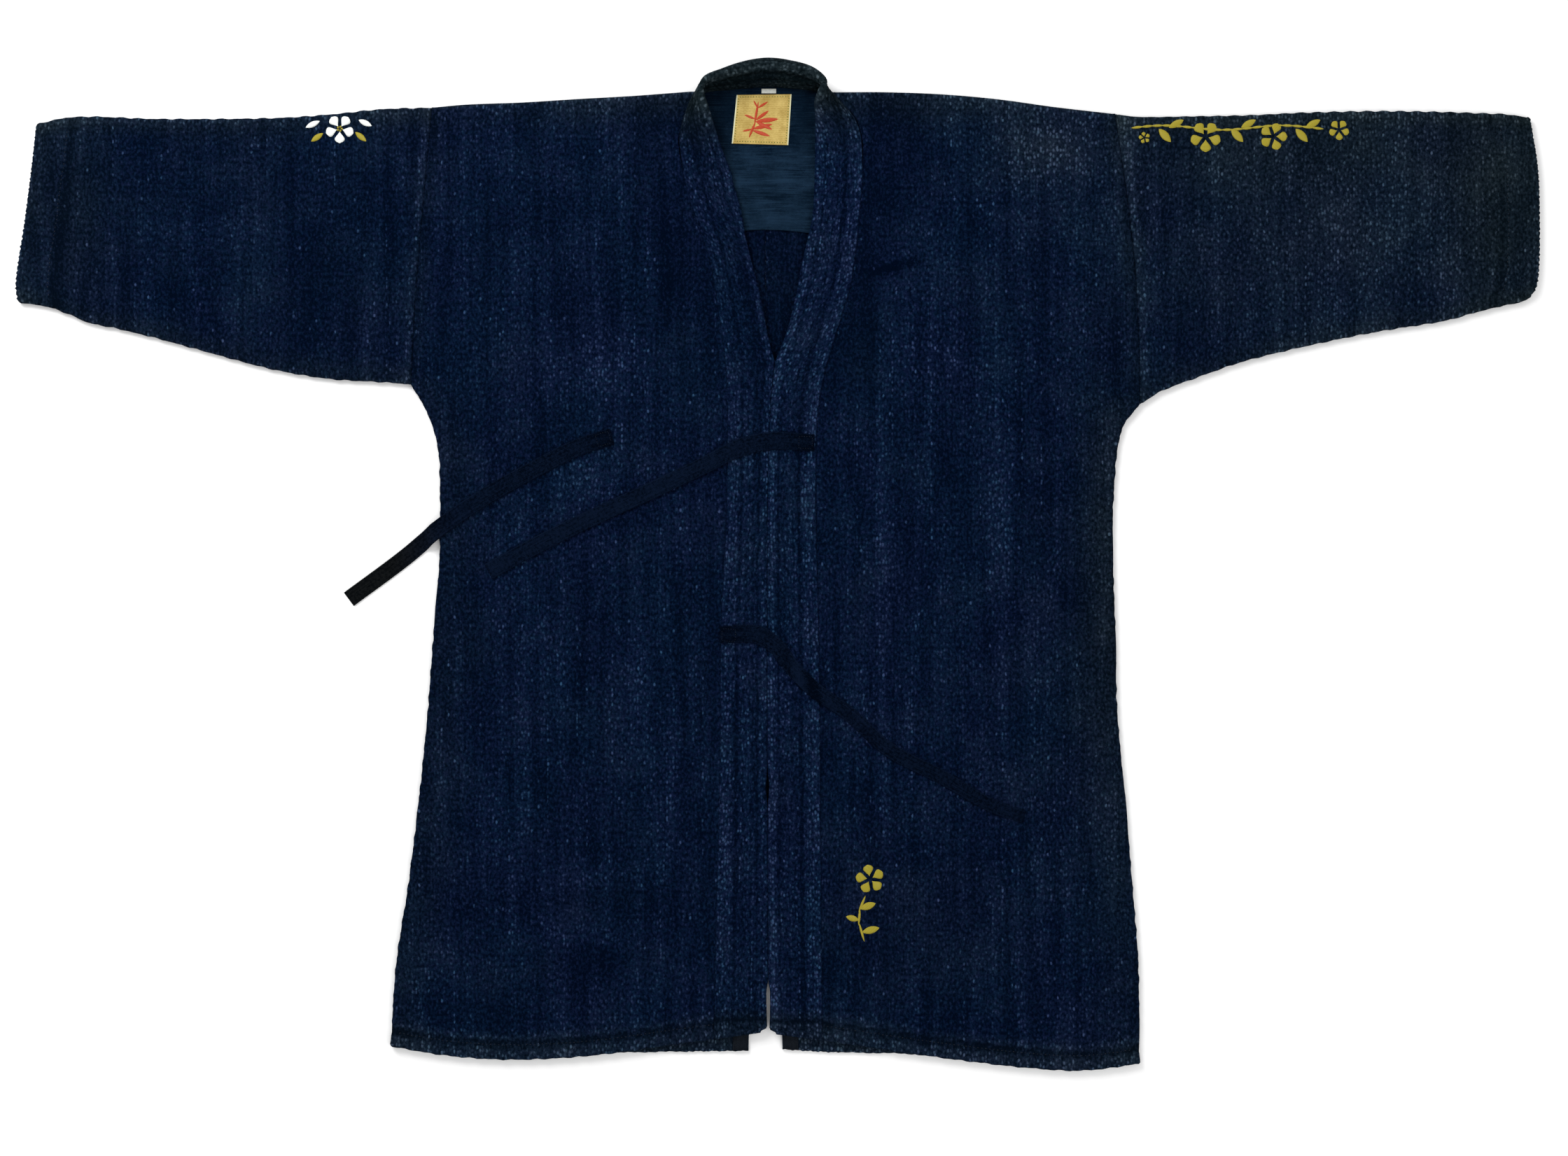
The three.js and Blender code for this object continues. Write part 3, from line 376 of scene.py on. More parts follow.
class Half:
    """One half of the garment: its side's sign, and each edge of its outline as a curve."""

    def __init__(self, sign, edges):
        self.sign = sign
        self.underarm = edges["side"][0][Y]
        self.armhole_top = edges["armhole"][0][Y]
        self.side_foot_x = edges["side"][-1][X]
        self.cuff_high = edges["cuff"][0][Y]
        self.cuff_low = edges["cuff"][-1][Y]
        self.hem_start = edges["front_hem"][0]
        self.back_hem_start = edges["back_hem"][0]
        self.neck_point = edges["collar_seam"][-1][X]
        for name, points in edges.items():
            curve = follow(points, X if name in EDGES_ACROSS else Y)
            setattr(self, name, fuzzy(curve) if name in UNEVEN_EDGES else curve)

    def outer(self, y):
        return np.where(y > self.underarm, self.armhole(y), self.side(y))

    def inner(self, y):
        """The front panel's inner edge, which reaches the foot of the standing band at the neck."""
        return self.collar_seam(y) - self.sign * self.neck_reach(y)

    def panel_side(self, y):
        """Where the flat part of a panel ends at the side and the armhole."""
        return self.outer(y) - self.sign * FOLD_INSET

    def shoulder_line(self, x):
        """Where the flat part of a panel ends at the shoulder."""
        return self.shoulder(x) - FOLD_INSET


RIGHT = Half(-1, RIGHT_EDGES)
LEFT = Half(1, LEFT_EDGES)
back_neckline = follow(BACK_NECKLINE, X)
centre_line = follow(CENTRE_LINE, Y)


def fold_height(x, y, folds):
    """How much the given folds lift the upper layer at a place."""
    height = np.zeros(np.broadcast(x, y).shape)
    for fold in folds:
        run_x, run_y = fold.x2 - fold.x1, fold.y2 - fold.y1
        from_x, from_y = x - fold.x1, y - fold.y1
        length = math.hypot(run_x, run_y)
        t = np.clip((from_x * run_x + from_y * run_y) / length**2, 0, 1)
        across = (from_x * run_y - from_y * run_x) / length
        height += fold.height * np.exp(-((across / fold.reach) ** 2)) * np.sin(np.pi * t)
    return height


# Low waves all over the upper layer: direction in degrees, length and height
Wave = namedtuple("Wave", "direction length height")
WAVES = [
    Wave(12, 171, 0.28),
    Wave(71, 133, 0.24),
    Wave(118, 97, 0.2),
    Wave(158, 61, 0.14),
    Wave(95, 43, 0.09),
    Wave(20, 31, 0.06),
]
WAVE_BEND = 0.011
WAVE_SWAY = 1.3
WAVE_SHIFT = 2.1


def waves(x, y):
    """The low unevenness of cloth that has been laid down by hand."""
    height = 0
    for count, wave in enumerate(WAVES):
        angle = math.radians(wave.direction)
        along = x * math.cos(angle) + y * math.sin(angle)
        sideways = y * math.cos(angle) - x * math.sin(angle)
        bend = WAVE_SWAY * np.sin(sideways * WAVE_BEND + count)
        turn = 2 * np.pi * along / wave.length + bend + WAVE_SHIFT * count
        height = height + wave.height * np.sin(turn)
    return height


def upper_lift(x, y):
    """How much the upper layer lifts off its flat height where nothing holds it."""
    return PUFF + fold_height(x, y, FOLDS) + waves(x, y)


class Cloth:
    """A middle surface of shared points and four-sided faces, seen from the cloth's outer side.

    above and below move the outer and the inner side away from the middle. The weave's own
    coordinates, its tone and how worn it is stay with each point.
    """

    def __init__(self):
        self.parts = []
        self.faces = []
        self.count = 0

    def add(self, x, y, z, u, v, above=0, below=0, tone=1, worn=0):
        """Adds a grid of points and gives their numbers, in the same grid."""
        values = np.broadcast_arrays(x, y, z, u, v, above, below, tone, worn)
        shape = values[0].shape
        self.parts.append(np.stack([value.ravel() for value in values], 1).astype(float))
        numbers = self.count + np.arange(values[0].size).reshape(shape)
        self.count += values[0].size
        return numbers

    def weave(self, numbers):
        """Faces between neighbouring rows of point numbers."""
        corners = (numbers[:-1, :-1], numbers[:-1, 1:], numbers[1:, 1:], numbers[1:, :-1])
        self.faces.append(np.stack([corner.ravel() for corner in corners], 1))

    def data(self):
        return np.vstack(self.parts), np.vstack(self.faces)

    def area(self):
        """The area of the middle surface, in square metres."""
        points, faces = self.data()
        return float(np.linalg.norm(face_normals(points[:, :3], faces), axis=1).sum() / 2 * MM * MM)

    def solid(self, wall):
        """The closed shell: its points, faces and the values that stay with each point."""
        data, faces = self.data()
        middle = data[:, :3]
        normals = np.zeros_like(middle)
        turned = face_normals(middle, faces)
        for corner in range(4):
            np.add.at(normals, faces[:, corner], turned)
        normals /= np.linalg.norm(normals, axis=1)[:, None]
        outer = middle + normals * (wall / 2 + data[:, 5:6])
        inner = middle - normals * (wall / 2 + data[:, 6:7])
        edges = np.vstack([faces[:, [i, (i + 1) % 4]] for i in range(4)])
        known = set(map(tuple, edges.tolist()))
        rim = np.array([edge for edge in edges.tolist() if (edge[1], edge[0]) not in known])
        count = len(middle)
        sides = np.stack([rim[:, 1], rim[:, 0], rim[:, 0] + count, rim[:, 1] + count], 1)
        all_faces = np.vstack([faces, faces[:, ::-1] + count, sides])
        values = np.vstack([data[:, 3:], data[:, 3:]])
        return np.vstack([outer, inner]), all_faces, values


def face_normals(points, faces):
    """A vector square to each face, as long as twice its area."""
    return np.cross(points[faces[:, 2]] - points[faces[:, 0]], points[faces[:, 3]] - points[faces[:, 1]])


def place_in_scene(name, data):
    """A new object of some data, in the scene."""
    made = bpy.data.objects.new(name, data)
    bpy.context.scene.collection.objects.link(made)
    return made


def make_object(name, points, faces, material, weave=None, tone=None, worn=None):
    """A smooth mesh object from points in millimetres, riding with the garment."""
    mesh = bpy.data.meshes.new(name)
    mesh.from_pydata((points * MM).tolist(), [], faces.tolist())
    mesh.shade_smooth()
    if weave is not None:
        flat = np.zeros((len(points), 3), np.float32)
        flat[:, :2] = weave
        mesh.attributes.new("weave", "FLOAT_VECTOR", "POINT").data.foreach_set("vector", flat.ravel())
    for label, values in (("tone", tone), ("worn", worn)):
        if values is not None:
            found = mesh.attributes.new(label, "FLOAT", "POINT")
            found.data.foreach_set("value", np.asarray(values, np.float32))
    mesh.materials.append(material)
    made = place_in_scene(name, mesh)
    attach(made, "root")
    return made


# A height over every piece
OVERHEAD = 100


class Ground:
    """The shells made so far, to find the height of what lies under a place."""

    def __init__(self):
        self.trees = []

    def add(self, points, faces):
        self.trees.append(BVHTree.FromPolygons(points.tolist(), faces.tolist()))

    def height(self, x, y):
        start, down = Vector((x, y, OVERHEAD)), Vector((0, 0, -1))
        found = [tree.ray_cast(start, down)[0] for tree in self.trees]
        return max([hit.z for hit in found if hit is not None], default=0.0)

    def heights(self, x, y):
        flat = [self.height(*place) for place in zip(np.ravel(x), np.ravel(y))]
        return np.array(flat).reshape(np.shape(x))


def cloth_piece(name, cloth, wall, material, ground=None):
    """The object of a cloth, which stands for the node of the same name."""
    points, faces, values = cloth.solid(wall)
    made = make_object(
        name + "_cloth", points, faces, material, values[:, :2], values[:, 4], values[:, 5]
    )
    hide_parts(name)
    if ground is not None:
        ground.add(points, faces)
    return made


# Places paler or darker than the rest, from fading and from painted light and shade, and places greyer
# with wear
Patch = namedtuple("Patch", "x y reach_x reach_y amount")
FADED_AND_SHADED_PATCHES = [
    Patch(-149, 174, 40, 30, 0.22),
    Patch(135, 187, 34, 26, 0.2),
    Patch(-177, 73, 36, 24, 0.15),
    Patch(198, 60, 10, 150, 0.22),
    Patch(95, 40, 8, 170, 0.2),
    Patch(-232, -60, 12, 190, 0.14),
    Patch(-120, -170, 26, 90, 0.12),
    Patch(245, 372, 46, 30, 0.55),
    Patch(500, 300, 190, 110, 0.12),
    Patch(-500, 290, 190, 120, -0.1),
    Patch(-520, 300, 60, 14, 0.15),
    Patch(560, 300, 70, 60, 0.12),
    Patch(250, -250, 30, 110, 0.12),
    Patch(-98, 262, 22, 60, -0.2),
    Patch(78, 205, 18, 50, -0.2),
    Patch(98, 330, 18, 50, -0.12),
]
WORN_PATCHES = [
    Patch(236, 372, 44, 30, 0.45),
    Patch(650, 320, 50, 110, 0.5),
    Patch(500, 300, 200, 110, 0.35),
    Patch(470, 380, 170, 40, 0.35),
    Patch(-640, 320, 40, 110, 0.3),
    Patch(300, 20, 26, 170, 0.3),
    Patch(270, -150, 70, 200, 0.14),
    Patch(110, -320, 90, 90, 0.12),
    Patch(-150, 425, 190, 26, 0.45),
    Patch(160, 425, 190, 26, 0.45),
]


def patches(x, y, table):
    total = 0
    for patch in table:
        place = ((x - patch.x) / patch.reach_x) ** 2 + ((y - patch.y) / patch.reach_y) ** 2
        total = total + patch.amount * np.exp(-place)
    return total


def near(distance, reach):
    """1 at a seam or edge, falling softly to 0 at a few times reach."""
    return np.exp(-((distance / reach) ** 2))


# A line along a seam or edge: its distance from there, its half width and how much it adds
Line = namedtuple("Line", "at reach amount")


def lines(distance, *rows):
    """What some lines add at a distance from their seam or edge."""
    return sum(row.amount * near(distance - row.at, row.reach) for row in rows)


def ripple(along, pitch):
    """Small even waves along a seam or edge, from -1 to 1."""
    return np.sin(2 * np.pi * along / pitch)


# How near to a full quarter circle the rounding of a cut edge comes
ROUNDNESS = 0.94


def rounded(distance, reach, wall):
    """How much a surface draws in towards a cut edge, so that the edge of the wall is round."""
    inside = 1 - np.clip(distance / reach, 0, 1)
    return (np.sqrt(1 - ROUNDNESS * inside**2) - 1) * wall / 2


EDGE_STEPS = 4
FOLD_STEPS = 7
EDGE_TURNS = np.radians(90 * (np.arange(EDGE_STEPS) + 1) / EDGE_STEPS)
HALF_TURN = np.radians(180 * (np.arange(FOLD_STEPS) + 1) / (FOLD_STEPS + 1))
EDGE_ROUND = 1.3
EDGE_ROWS = [0, 0.25, 0.7, EDGE_ROUND]
EDGE_INSET = 2.5
CUT_ROUND = 3


def edge_points(closed, layer_z):
    """How far out and how high each point past the flat part of a layer is, towards a closed side.

    closed is 0 at a cut edge, which stays in the layer, and 1 where the edge turns to the other.
    """
    up = np.sign(layer_z - MIDDLE_Z)
    turned_z = MIDDLE_Z + up * np.r_[FOLD_RADIUS * np.cos(EDGE_TURNS[:-1]), SEAM_GAP / 2]
    cut_out = (FOLD_INSET - SEAM_GAP / 2) * (np.arange(EDGE_STEPS) + 1) / EDGE_STEPS
    closed = np.asarray(closed)[..., None]
    out = cut_out + (FOLD_RADIUS * np.sin(EDGE_TURNS) - cut_out) * closed
    return out, layer_z + (turned_z - layer_z) * closed


def centre_gap(y):
    """Half the gap between the back panels, which opens at the vent."""
    return SEAM_GAP / 2 + VENT_HALF_GAP * smooth(-y, -VENT_TOP, -VENT_TOP + VENT_LENGTH)


def back_top(half, x):
    """The upper edge of a back panel: the shoulder, and round the neck a margin inside the band."""
    from_neck = np.abs(x) - abs(half.neck_point)
    on_shoulder = (from_neck >= 0) & (np.sign(x - CENTRE_X) == half.sign)
    margin = NECKLINE_MARGIN * smooth(-from_neck, 0, NECKLINE_TURN)
    return np.where(on_shoulder, half.shoulder_line(x), back_neckline(x) + margin)


def place_grid(row_shares, column_shares, bottom, top, outer, inner):
    """Places between a bottom and a top line and between an outer and an inner line."""
    rows, columns = np.meshgrid(row_shares, column_shares, indexing="ij")
    x = outer(np.zeros_like(rows)) * (1 - columns) + inner(np.zeros_like(rows)) * columns
    y = np.zeros_like(rows)
    for _ in range(SETTLE):
        y = bottom(x) * (1 - rows) + top(x) * rows
        x = outer(y) * (1 - columns) + inner(y) * columns
    return x, y


# The grid of a body panel, as shares of its height and width
FRONT_ROWS = np.unique(np.r_[EDGE_ROWS, steps(EDGE_INSET, PANEL_LENGTH, FRONT_CELL)]) / PANEL_LENGTH
BACK_INSET = 4
BACK_ROWS = np.unique(np.r_[
    0,
    EDGE_ROUND,
    steps(BACK_INSET, UNDERARM_FROM, BACK_CELL),
    steps(UNDERARM_FROM, UNDERARM_TO, UNDERARM_CELL),
    steps(UNDERARM_TO, PANEL_LENGTH, BACK_CELL),
])[::-1] / PANEL_LENGTH
COLUMNS = 86
SEAM_COLUMNS = [0.004, 0.0008]
NECK_COLUMNS = 22

# Relief of a front: its hem and the stitches there, the armhole seam and the rise to the band
SEAM_PUCKER = 5.5
HEM_STITCH = 13.5
HEM_TROUGH = Line(HEM_STITCH, 2, -1.3)
HEM_PUCKERS = [Line(HEM_STITCH, 2, 0.2), Line(HEM_STITCH, 6, 0.2)]
ARMHOLE_PUCKER = Line(0, 5, 0.16)
ARMHOLE_START = 14
PANEL_RISE = 1.3
BAND_RISE = Line(0, 14, PANEL_RISE)
BAND_RISE_STARTS = (4, 30)
BAND_RISE_ENDS = (340, 390)

# Tone of a front: paler lines of fading, and darker lines of painted shade where the amount is below 0
HEM_TONES = [Line(4, 7, 0.32), Line(HEM_STITCH + 7, 2.5, 0.3)]
HEM_CREASE_SHADE = Line(HEM_STITCH + 1, 2.2, -0.9)
HEM_CREASE_LEAST = 0.2
HEM_CREASE_RUNS = (17, 41)
SHOULDER_TONE = Line(0, 5, 0.3)
ARMHOLE_SEAM_SHADE = Line(0, 2.5, -0.2)
BAND_SIDE_SHADE = Line(0, 12, -0.06)
CHEST_VALLEY_SHADE = Line(22, 30, -0.1)
CHEST_FROM = (120, 180)

# Wear of a front, which greys it
HEM_WEAR = 0.4
HEM_WEAR_ENDS = (10, 30)
ARMHOLE_WEAR = Line(0, 8, 0.15)
SIDE_WEAR = Line(0, 30, 0.2)

# The places of a front: their height above the hem, and their distance from side and band
Front = namedtuple("Front", "x y up from_side from_band at_armhole")


def front_relief(at):
    """How far the outer side of a front is raised at each place."""
    hem = HEM_RAISE * (1 - smooth(at.up, HEM_DEPTH - 0.5, HEM_DEPTH + STEP_WIDTH))
    stitched = lines(at.up, HEM_TROUGH) + ripple(at.x, SEAM_PUCKER) * lines(at.up, *HEM_PUCKERS)
    armhole = at.at_armhole * ripple(at.y, SEAM_PUCKER) * lines(at.from_side, ARMHOLE_PUCKER)
    rise = smooth(at.up, *BAND_RISE_STARTS) * (1 - smooth(at.y, *BAND_RISE_ENDS))
    beside_band = lines(at.from_band, BAND_RISE) * rise
    return hem + stitched + armhole + beside_band + rounded(at.up, EDGE_ROUND, WALL)


def front_tone(at):
    """How pale a front is at each place, 1 where no fading, painted shade or painted highlight changes
    it.
    """
    short, long = HEM_CREASE_RUNS
    uneven = np.sin(at.x / short) * np.sin(at.x / long)
    crease = (1 + HEM_CREASE_LEAST) / 2 + (1 - HEM_CREASE_LEAST) / 2 * uneven
    tone = 1 + patches(at.x, at.y, FADED_AND_SHADED_PATCHES) - fold_height(at.x, at.y, FOLD_LIGHT_AND_SHADE)
    tone = tone + lines(at.up, *HEM_TONES) + lines(at.up, HEM_CREASE_SHADE) * crease
    tone = tone + lines(PANEL_LENGTH - at.up, SHOULDER_TONE) + lines(at.from_band, BAND_SIDE_SHADE)
    tone = tone + lines(at.from_band, CHEST_VALLEY_SHADE) * smooth(at.y, *CHEST_FROM)
    return tone + lines(at.from_side, ARMHOLE_SEAM_SHADE) * at.at_armhole


def front_wear(at):
    """How worn and grey a front is at each place."""
    worn = patches(at.x, at.y, WORN_PATCHES) + HEM_WEAR * (1 - smooth(at.up, *HEM_WEAR_ENDS))
    worn = worn + lines(at.from_side, ARMHOLE_WEAR) * at.at_armhole
    return worn + lines(at.from_side, SIDE_WEAR) * (1 - at.at_armhole)


def add_layer(cloth, half, layer_z, x, y, z, v, above, below, tone, worn):
    """Adds one layer of a panel, with the points of its outer edge put before each row."""
    closed = smooth(half.underarm - y[:, 0], 0, UNDERARM_TURN)
    out, edge_z = edge_points(closed, layer_z)
    edge_x = (x[:, :1] + half.sign * out)[:, ::-1]
    cut = (1 - closed)[:, None] * rounded((FOLD_INSET - out)[:, ::-1], CUT_ROUND, WALL)
    edge = [edge_x, y[:, :1], edge_z[:, ::-1], edge_x, v[:, :1]]
    edge += [above[:, :1] + cut, below[:, :1], tone[:, :1], worn[:, :1]]
    inside = [x, y, z, x, v, above, below, tone, worn]
    edge, inside = np.broadcast_arrays(*edge), np.broadcast_arrays(*inside)
    return cloth.add(*[np.hstack(pair) for pair in zip(edge, inside)])


def panel_front(cloth, half, shares):
    """Adds the front of a panel, and gives its point numbers and the line where it turns over."""
    x, y = place_grid(
        FRONT_ROWS, shares, half.front_hem, half.shoulder_line, half.panel_side, half.inner
    )
    up = FRONT_ROWS[:, None] * PANEL_LENGTH
    from_side = np.abs(x - half.panel_side(y))
    from_band = np.abs(x - half.inner(y))
    at_armhole = smooth(y, half.underarm, half.underarm + ARMHOLE_START)
    at = Front(x, y, up, from_side, from_band, at_armhole)
    free = smooth(from_side, 0, PUFF_REACH) * smooth(from_band, 0, PUFF_REACH / 2)
    free = free * smooth(up, 0, PUFF_REACH) * smooth(PANEL_LENGTH - up, 0, PUFF_REACH / 2)
    z = FRONT_Z + upper_lift(x, y) * free
    relief, ends = front_relief(at), rounded(up, EDGE_ROUND, WALL)
    tone, worn = front_tone(at), front_wear(at)
    return add_layer(cloth, half, FRONT_Z, x, y, z, y, relief, ends, tone, worn), x[-1]


SHOULDER_FADED = 1.3
SHOULDER_WORN = 0.55


def shoulder_fold(cloth, half, rim_x):
    """Adds the half turn over the shoulder, which joins the front to the back."""
    rim_y = half.shoulder_line(rim_x)
    seam_out = edge_points(0, FRONT_Z)[0][::-1]
    rim_x = np.r_[rim_x[0] + half.sign * seam_out, rim_x]
    rim_y = np.r_[np.full(EDGE_STEPS, rim_y[0]), rim_y]
    turn = HALF_TURN[:, None]
    y = rim_y + FOLD_RADIUS * np.sin(turn)
    z = MIDDLE_Z + FOLD_RADIUS * np.cos(turn)
    v = rim_y + FOLD_RADIUS * turn
    return cloth.add(rim_x, y, z, rim_x, v, tone=SHOULDER_FADED, worn=SHOULDER_WORN)


# How the back fades towards its hem: where the fading ends, and tone and wear there and at the hem
Fading = namedtuple("Fading", "ends tone hem_tone worn hem_worn")
UNDER_FRONT = Fading(30, 1, 1.35, 0.2, 0.6)
UNDER_BAND = Fading(60, 0.78, 1.33, 0.05, 0.55)
BACK_HEM = 14


def panel_back(cloth, half, shares):
    """Adds the back under the front, and its stretch from the side of the neck to the centre."""
    rows = BACK_ROWS[:, None]
    up = rows * PANEL_LENGTH
    flat = np.zeros_like(up)

    def neck_side(y):
        return np.full_like(y, half.neck_point)

    def faded(fading):
        share = smooth(up, BACK_HEM, fading.ends)
        tone = fading.hem_tone + (fading.tone - fading.hem_tone) * share
        return tone, fading.hem_worn + (fading.worn - fading.hem_worn) * share

    x, y = place_grid(BACK_ROWS, shares, half.back_hem, half.shoulder_line, half.panel_side, neck_side)
    v = 2 * half.shoulder_line(x) + np.pi * FOLD_RADIUS - y
    back = add_layer(cloth, half, BACK_Z, x, y, BACK_Z, v, flat, flat, *faded(UNDER_FRONT))

    neck_x = x[:, -1:]
    to_centre = np.linspace(0, 1, NECK_COLUMNS + 1)[None, 1:]
    x = neck_x * (1 - to_centre) + CENTRE_X * to_centre
    for _ in range(SETTLE):
        y = half.back_hem(x) * (1 - rows) + back_top(half, x) * rows
        x = neck_x * (1 - to_centre) + (CENTRE_X + half.sign * centre_gap(y)) * to_centre
    v = 2 * half.shoulder_line(neck_x) + np.pi * FOLD_RADIUS - y
    tone, worn = faded(UNDER_BAND)
    neck = cloth.add(x, y, BACK_Z, x, v, tone=tone, worn=worn)
    return back, np.hstack([back[:, -1:], neck])


def body_panel(half):
    """One body panel: the front, the shoulder fold and the back, cut in one length."""
    cloth = Cloth()
    shares = np.unique(np.r_[np.linspace(0, 1, COLUMNS), 1 - np.array(SEAM_COLUMNS)])
    front, rim_x = panel_front(cloth, half, shares)
    fold = shoulder_fold(cloth, half, rim_x)
    back, neck = panel_back(cloth, half, shares)
    for numbers in (np.vstack([front, fold, back]), neck):
        cloth.weave(numbers if half.sign < 0 else numbers[:, ::-1])
    return cloth


SLEEVE_ACROSS = 130
SLEEVE_BACK = 40
SLEEVE_WIDTH = 240

# A sleeve's seam at the armhole: its ridge, pucker, tone and wear
SEAM_RIDGE = Line(4.5, 3.2, 0.45)
SEAM_PUCKERS = Line(0, 7, 0.16)
SEAM_TONE = Line(4.5, 2.4, 0.42)
SEAM_WEAR = Line(0, 9, 0.15)

# A sleeve's cuff: the crease of its turned hem with painted shade in it, and the scallops of the weave at
# its edge
CUFF_CREASE = Line(33, 3.5, 1)
CUFF_CREASE_DEPTH = 1.2
CUFF_CREASE_SHADE = 0.55
CUFF_CREASE_LEAST = 0.55
CUFF_CREASE_PAST = 60
CUFF_PUCKERS = Line(33, 5, 0.16)
CUFF_SCALLOP = 4.7
CUFF_SCALLOPS = Line(0, 2.5, 0.3)
CUFF_EDGE = Line(0, 0.008, 0.45)
CUFF_TONE = Line(0, 3, 0.25)
CUFF_WEAR = Line(0, 14, 0.25)

# The fold along a sleeve's top and the seam along its bottom
TOP_TONE = Line(0, 6, 0.25)
TOP_WEAR = Line(0, 14, 0.35)
BOTTOM_WEAR = Line(0, 14, 0.25)
SLEEVE_WORN = 0.05


class SleeveGrid:
    """The places of one sleeve, a flattened tube, with the relief and fading there."""

    def __init__(self, half):
        self.half = half
        rows = edged_steps(SLEEVE_LENGTH, EDGE_ROWS, EDGE_INSET, FRONT_CELL)[::-1]
        self.shares = 1 - rows[:, None] / SLEEVE_LENGTH
        self.to_cuff = (1 - self.shares) * SLEEVE_LENGTH
        self.from_armhole = self.shares * SLEEVE_LENGTH
        self.ends = rounded(self.to_cuff, EDGE_ROUND, WALL) + rounded(self.from_armhole, EDGE_ROUND, WALL)

    def armhole(self, y):
        """The seam at the armhole, straight on where the sleeve turns over at the top."""
        top = self.half.armhole_top - FOLD_INSET
        return self.half.armhole(np.minimum(y, top)) + self.half.sign * SEAM_GAP / 2

    def places(self, across, past=0):
        """Places at shares across the sleeve, and past its flat part."""
        half = self.half
        share, across = np.broadcast_arrays(self.shares, np.asarray(across, float)[None, :])
        y = np.full(share.shape, (half.underarm + half.armhole_top) / 2)
        for _ in range(SETTLE):
            x = self.armhole(y) * (1 - share) + half.cuff(y) * share
            x = x + lines(1 - share, CUFF_EDGE) * ripple(y, CUFF_SCALLOP)
            low = half.sleeve_bottom(x) + FOLD_INSET
            high = half.sleeve_top(x) - FOLD_INSET
            y = low * (1 - across) + high * across + past
        return x, y

    def finish(self, x, y, lift):
        """The relief, tone and wear at the seam and the cuff, with painted shade in the cuff's crease."""
        half, to_cuff, from_armhole = self.half, self.to_cuff, self.from_armhole
        raised = HEM_RAISE * (1 - smooth(to_cuff, CUFF_DEPTH - 1, CUFF_DEPTH + STEP_WIDTH))
        low = smooth(-y, -half.armhole_top, -half.underarm - CUFF_CREASE_PAST)
        crease = lines(to_cuff, CUFF_CREASE) * (CUFF_CREASE_LEAST + (1 - CUFF_CREASE_LEAST) * low)
        puckers = lines(to_cuff, CUFF_PUCKERS) + lines(from_armhole, SEAM_PUCKERS)
        above = lift * raised - CUFF_CREASE_DEPTH * crease + self.ends + lines(from_armhole, SEAM_RIDGE)
        above = above + puckers * ripple(y, SEAM_PUCKER)
        above = above + lines(to_cuff, CUFF_SCALLOPS) * ripple(y, CUFF_SCALLOP)
        tone = 1 + patches(x, y, FADED_AND_SHADED_PATCHES) - CUFF_CREASE_SHADE * crease
        tone = tone + lines(from_armhole, SEAM_TONE) + lines(to_cuff, CUFF_TONE)
        worn = SLEEVE_WORN + patches(x, y, WORN_PATCHES)
        worn = worn + lines(from_armhole, SEAM_WEAR) + lines(to_cuff, CUFF_WEAR)
        return above, tone, worn

    def add_upper(self, cloth):
        """Adds the upper layer, from the seam along the bottom to the fold along the top."""
        across = np.linspace(0, 1, SLEEVE_ACROSS)
        x, y = self.places(across)
        free = smooth(self.from_armhole, 0, PUFF_REACH) * smooth(self.to_cuff, 0, CUFF_DEPTH)
        z = FRONT_Z + upper_lift(x, y) * (free * np.sin(np.pi * across))
        above, tone, worn = self.finish(x, y, 1)
        from_top, from_bottom = (1 - across) * SLEEVE_WIDTH, across * SLEEVE_WIDTH
        tone = tone + lines(from_top, TOP_TONE)
        worn = worn + lines(from_top, TOP_WEAR) + lines(from_bottom, BOTTOM_WEAR)
        return cloth.add(x, y, z, x, y, above, self.ends, tone, worn)

    def add_lower(self, cloth):
        """Adds the plain lower layer, from the fold along the top to the seam."""
        x, y = self.places(np.linspace(1, 0, SLEEVE_BACK))
        v = 2 * y[:, :1] + np.pi * FOLD_RADIUS - y
        return cloth.add(x, y, BACK_Z, x, v, 0, self.ends, 1, UNDER_FRONT.worn)

    def add_turn(self, cloth, across, turns, layer, lift):
        """Adds an edge that turns away from a layer, the top one where across is 1."""
        edge_y = self.places([across])[1]
        outward = 1 if across else -1
        columns = []
        for turn in turns:
            x, y = self.places([across], outward * FOLD_RADIUS * math.sin(turn))
            z = MIDDLE_Z + layer * FOLD_RADIUS * math.cos(turn)
            if not across and turn == turns[-1]:
                z = MIDDLE_Z + layer * SEAM_GAP / 2
            arc = FOLD_RADIUS * turn
            v = edge_y + arc if across else edge_y - layer * arc
            above, tone, worn = self.finish(x, y, lift * max(math.cos(turn), 0))
            tone, worn = tone + TOP_TONE.amount, worn + TOP_WEAR.amount
            columns.append([x, y, np.full_like(x, z), x, v, above, self.ends, tone, worn])
        return cloth.add(*[np.hstack(column) for column in zip(*columns)])


def sleeve(half):
    """One sleeve: a flattened tube, folded along the top, with its seam along the bottom."""
    cloth, grid = Cloth(), SleeveGrid(half)
    upper = grid.add_upper(cloth)
    fold = grid.add_turn(cloth, 1, HALF_TURN, 1, 1)
    seam_up = grid.add_turn(cloth, 0, EDGE_TURNS, 1, 0)[:, ::-1]
    lower = grid.add_lower(cloth)
    seam_down = grid.add_turn(cloth, 0, EDGE_TURNS, -1, 0)
    rows = np.hstack([seam_up, upper, fold, lower, seam_down])
    cloth.weave(rows[:, ::-1] if half.sign < 0 else rows)
    return cloth


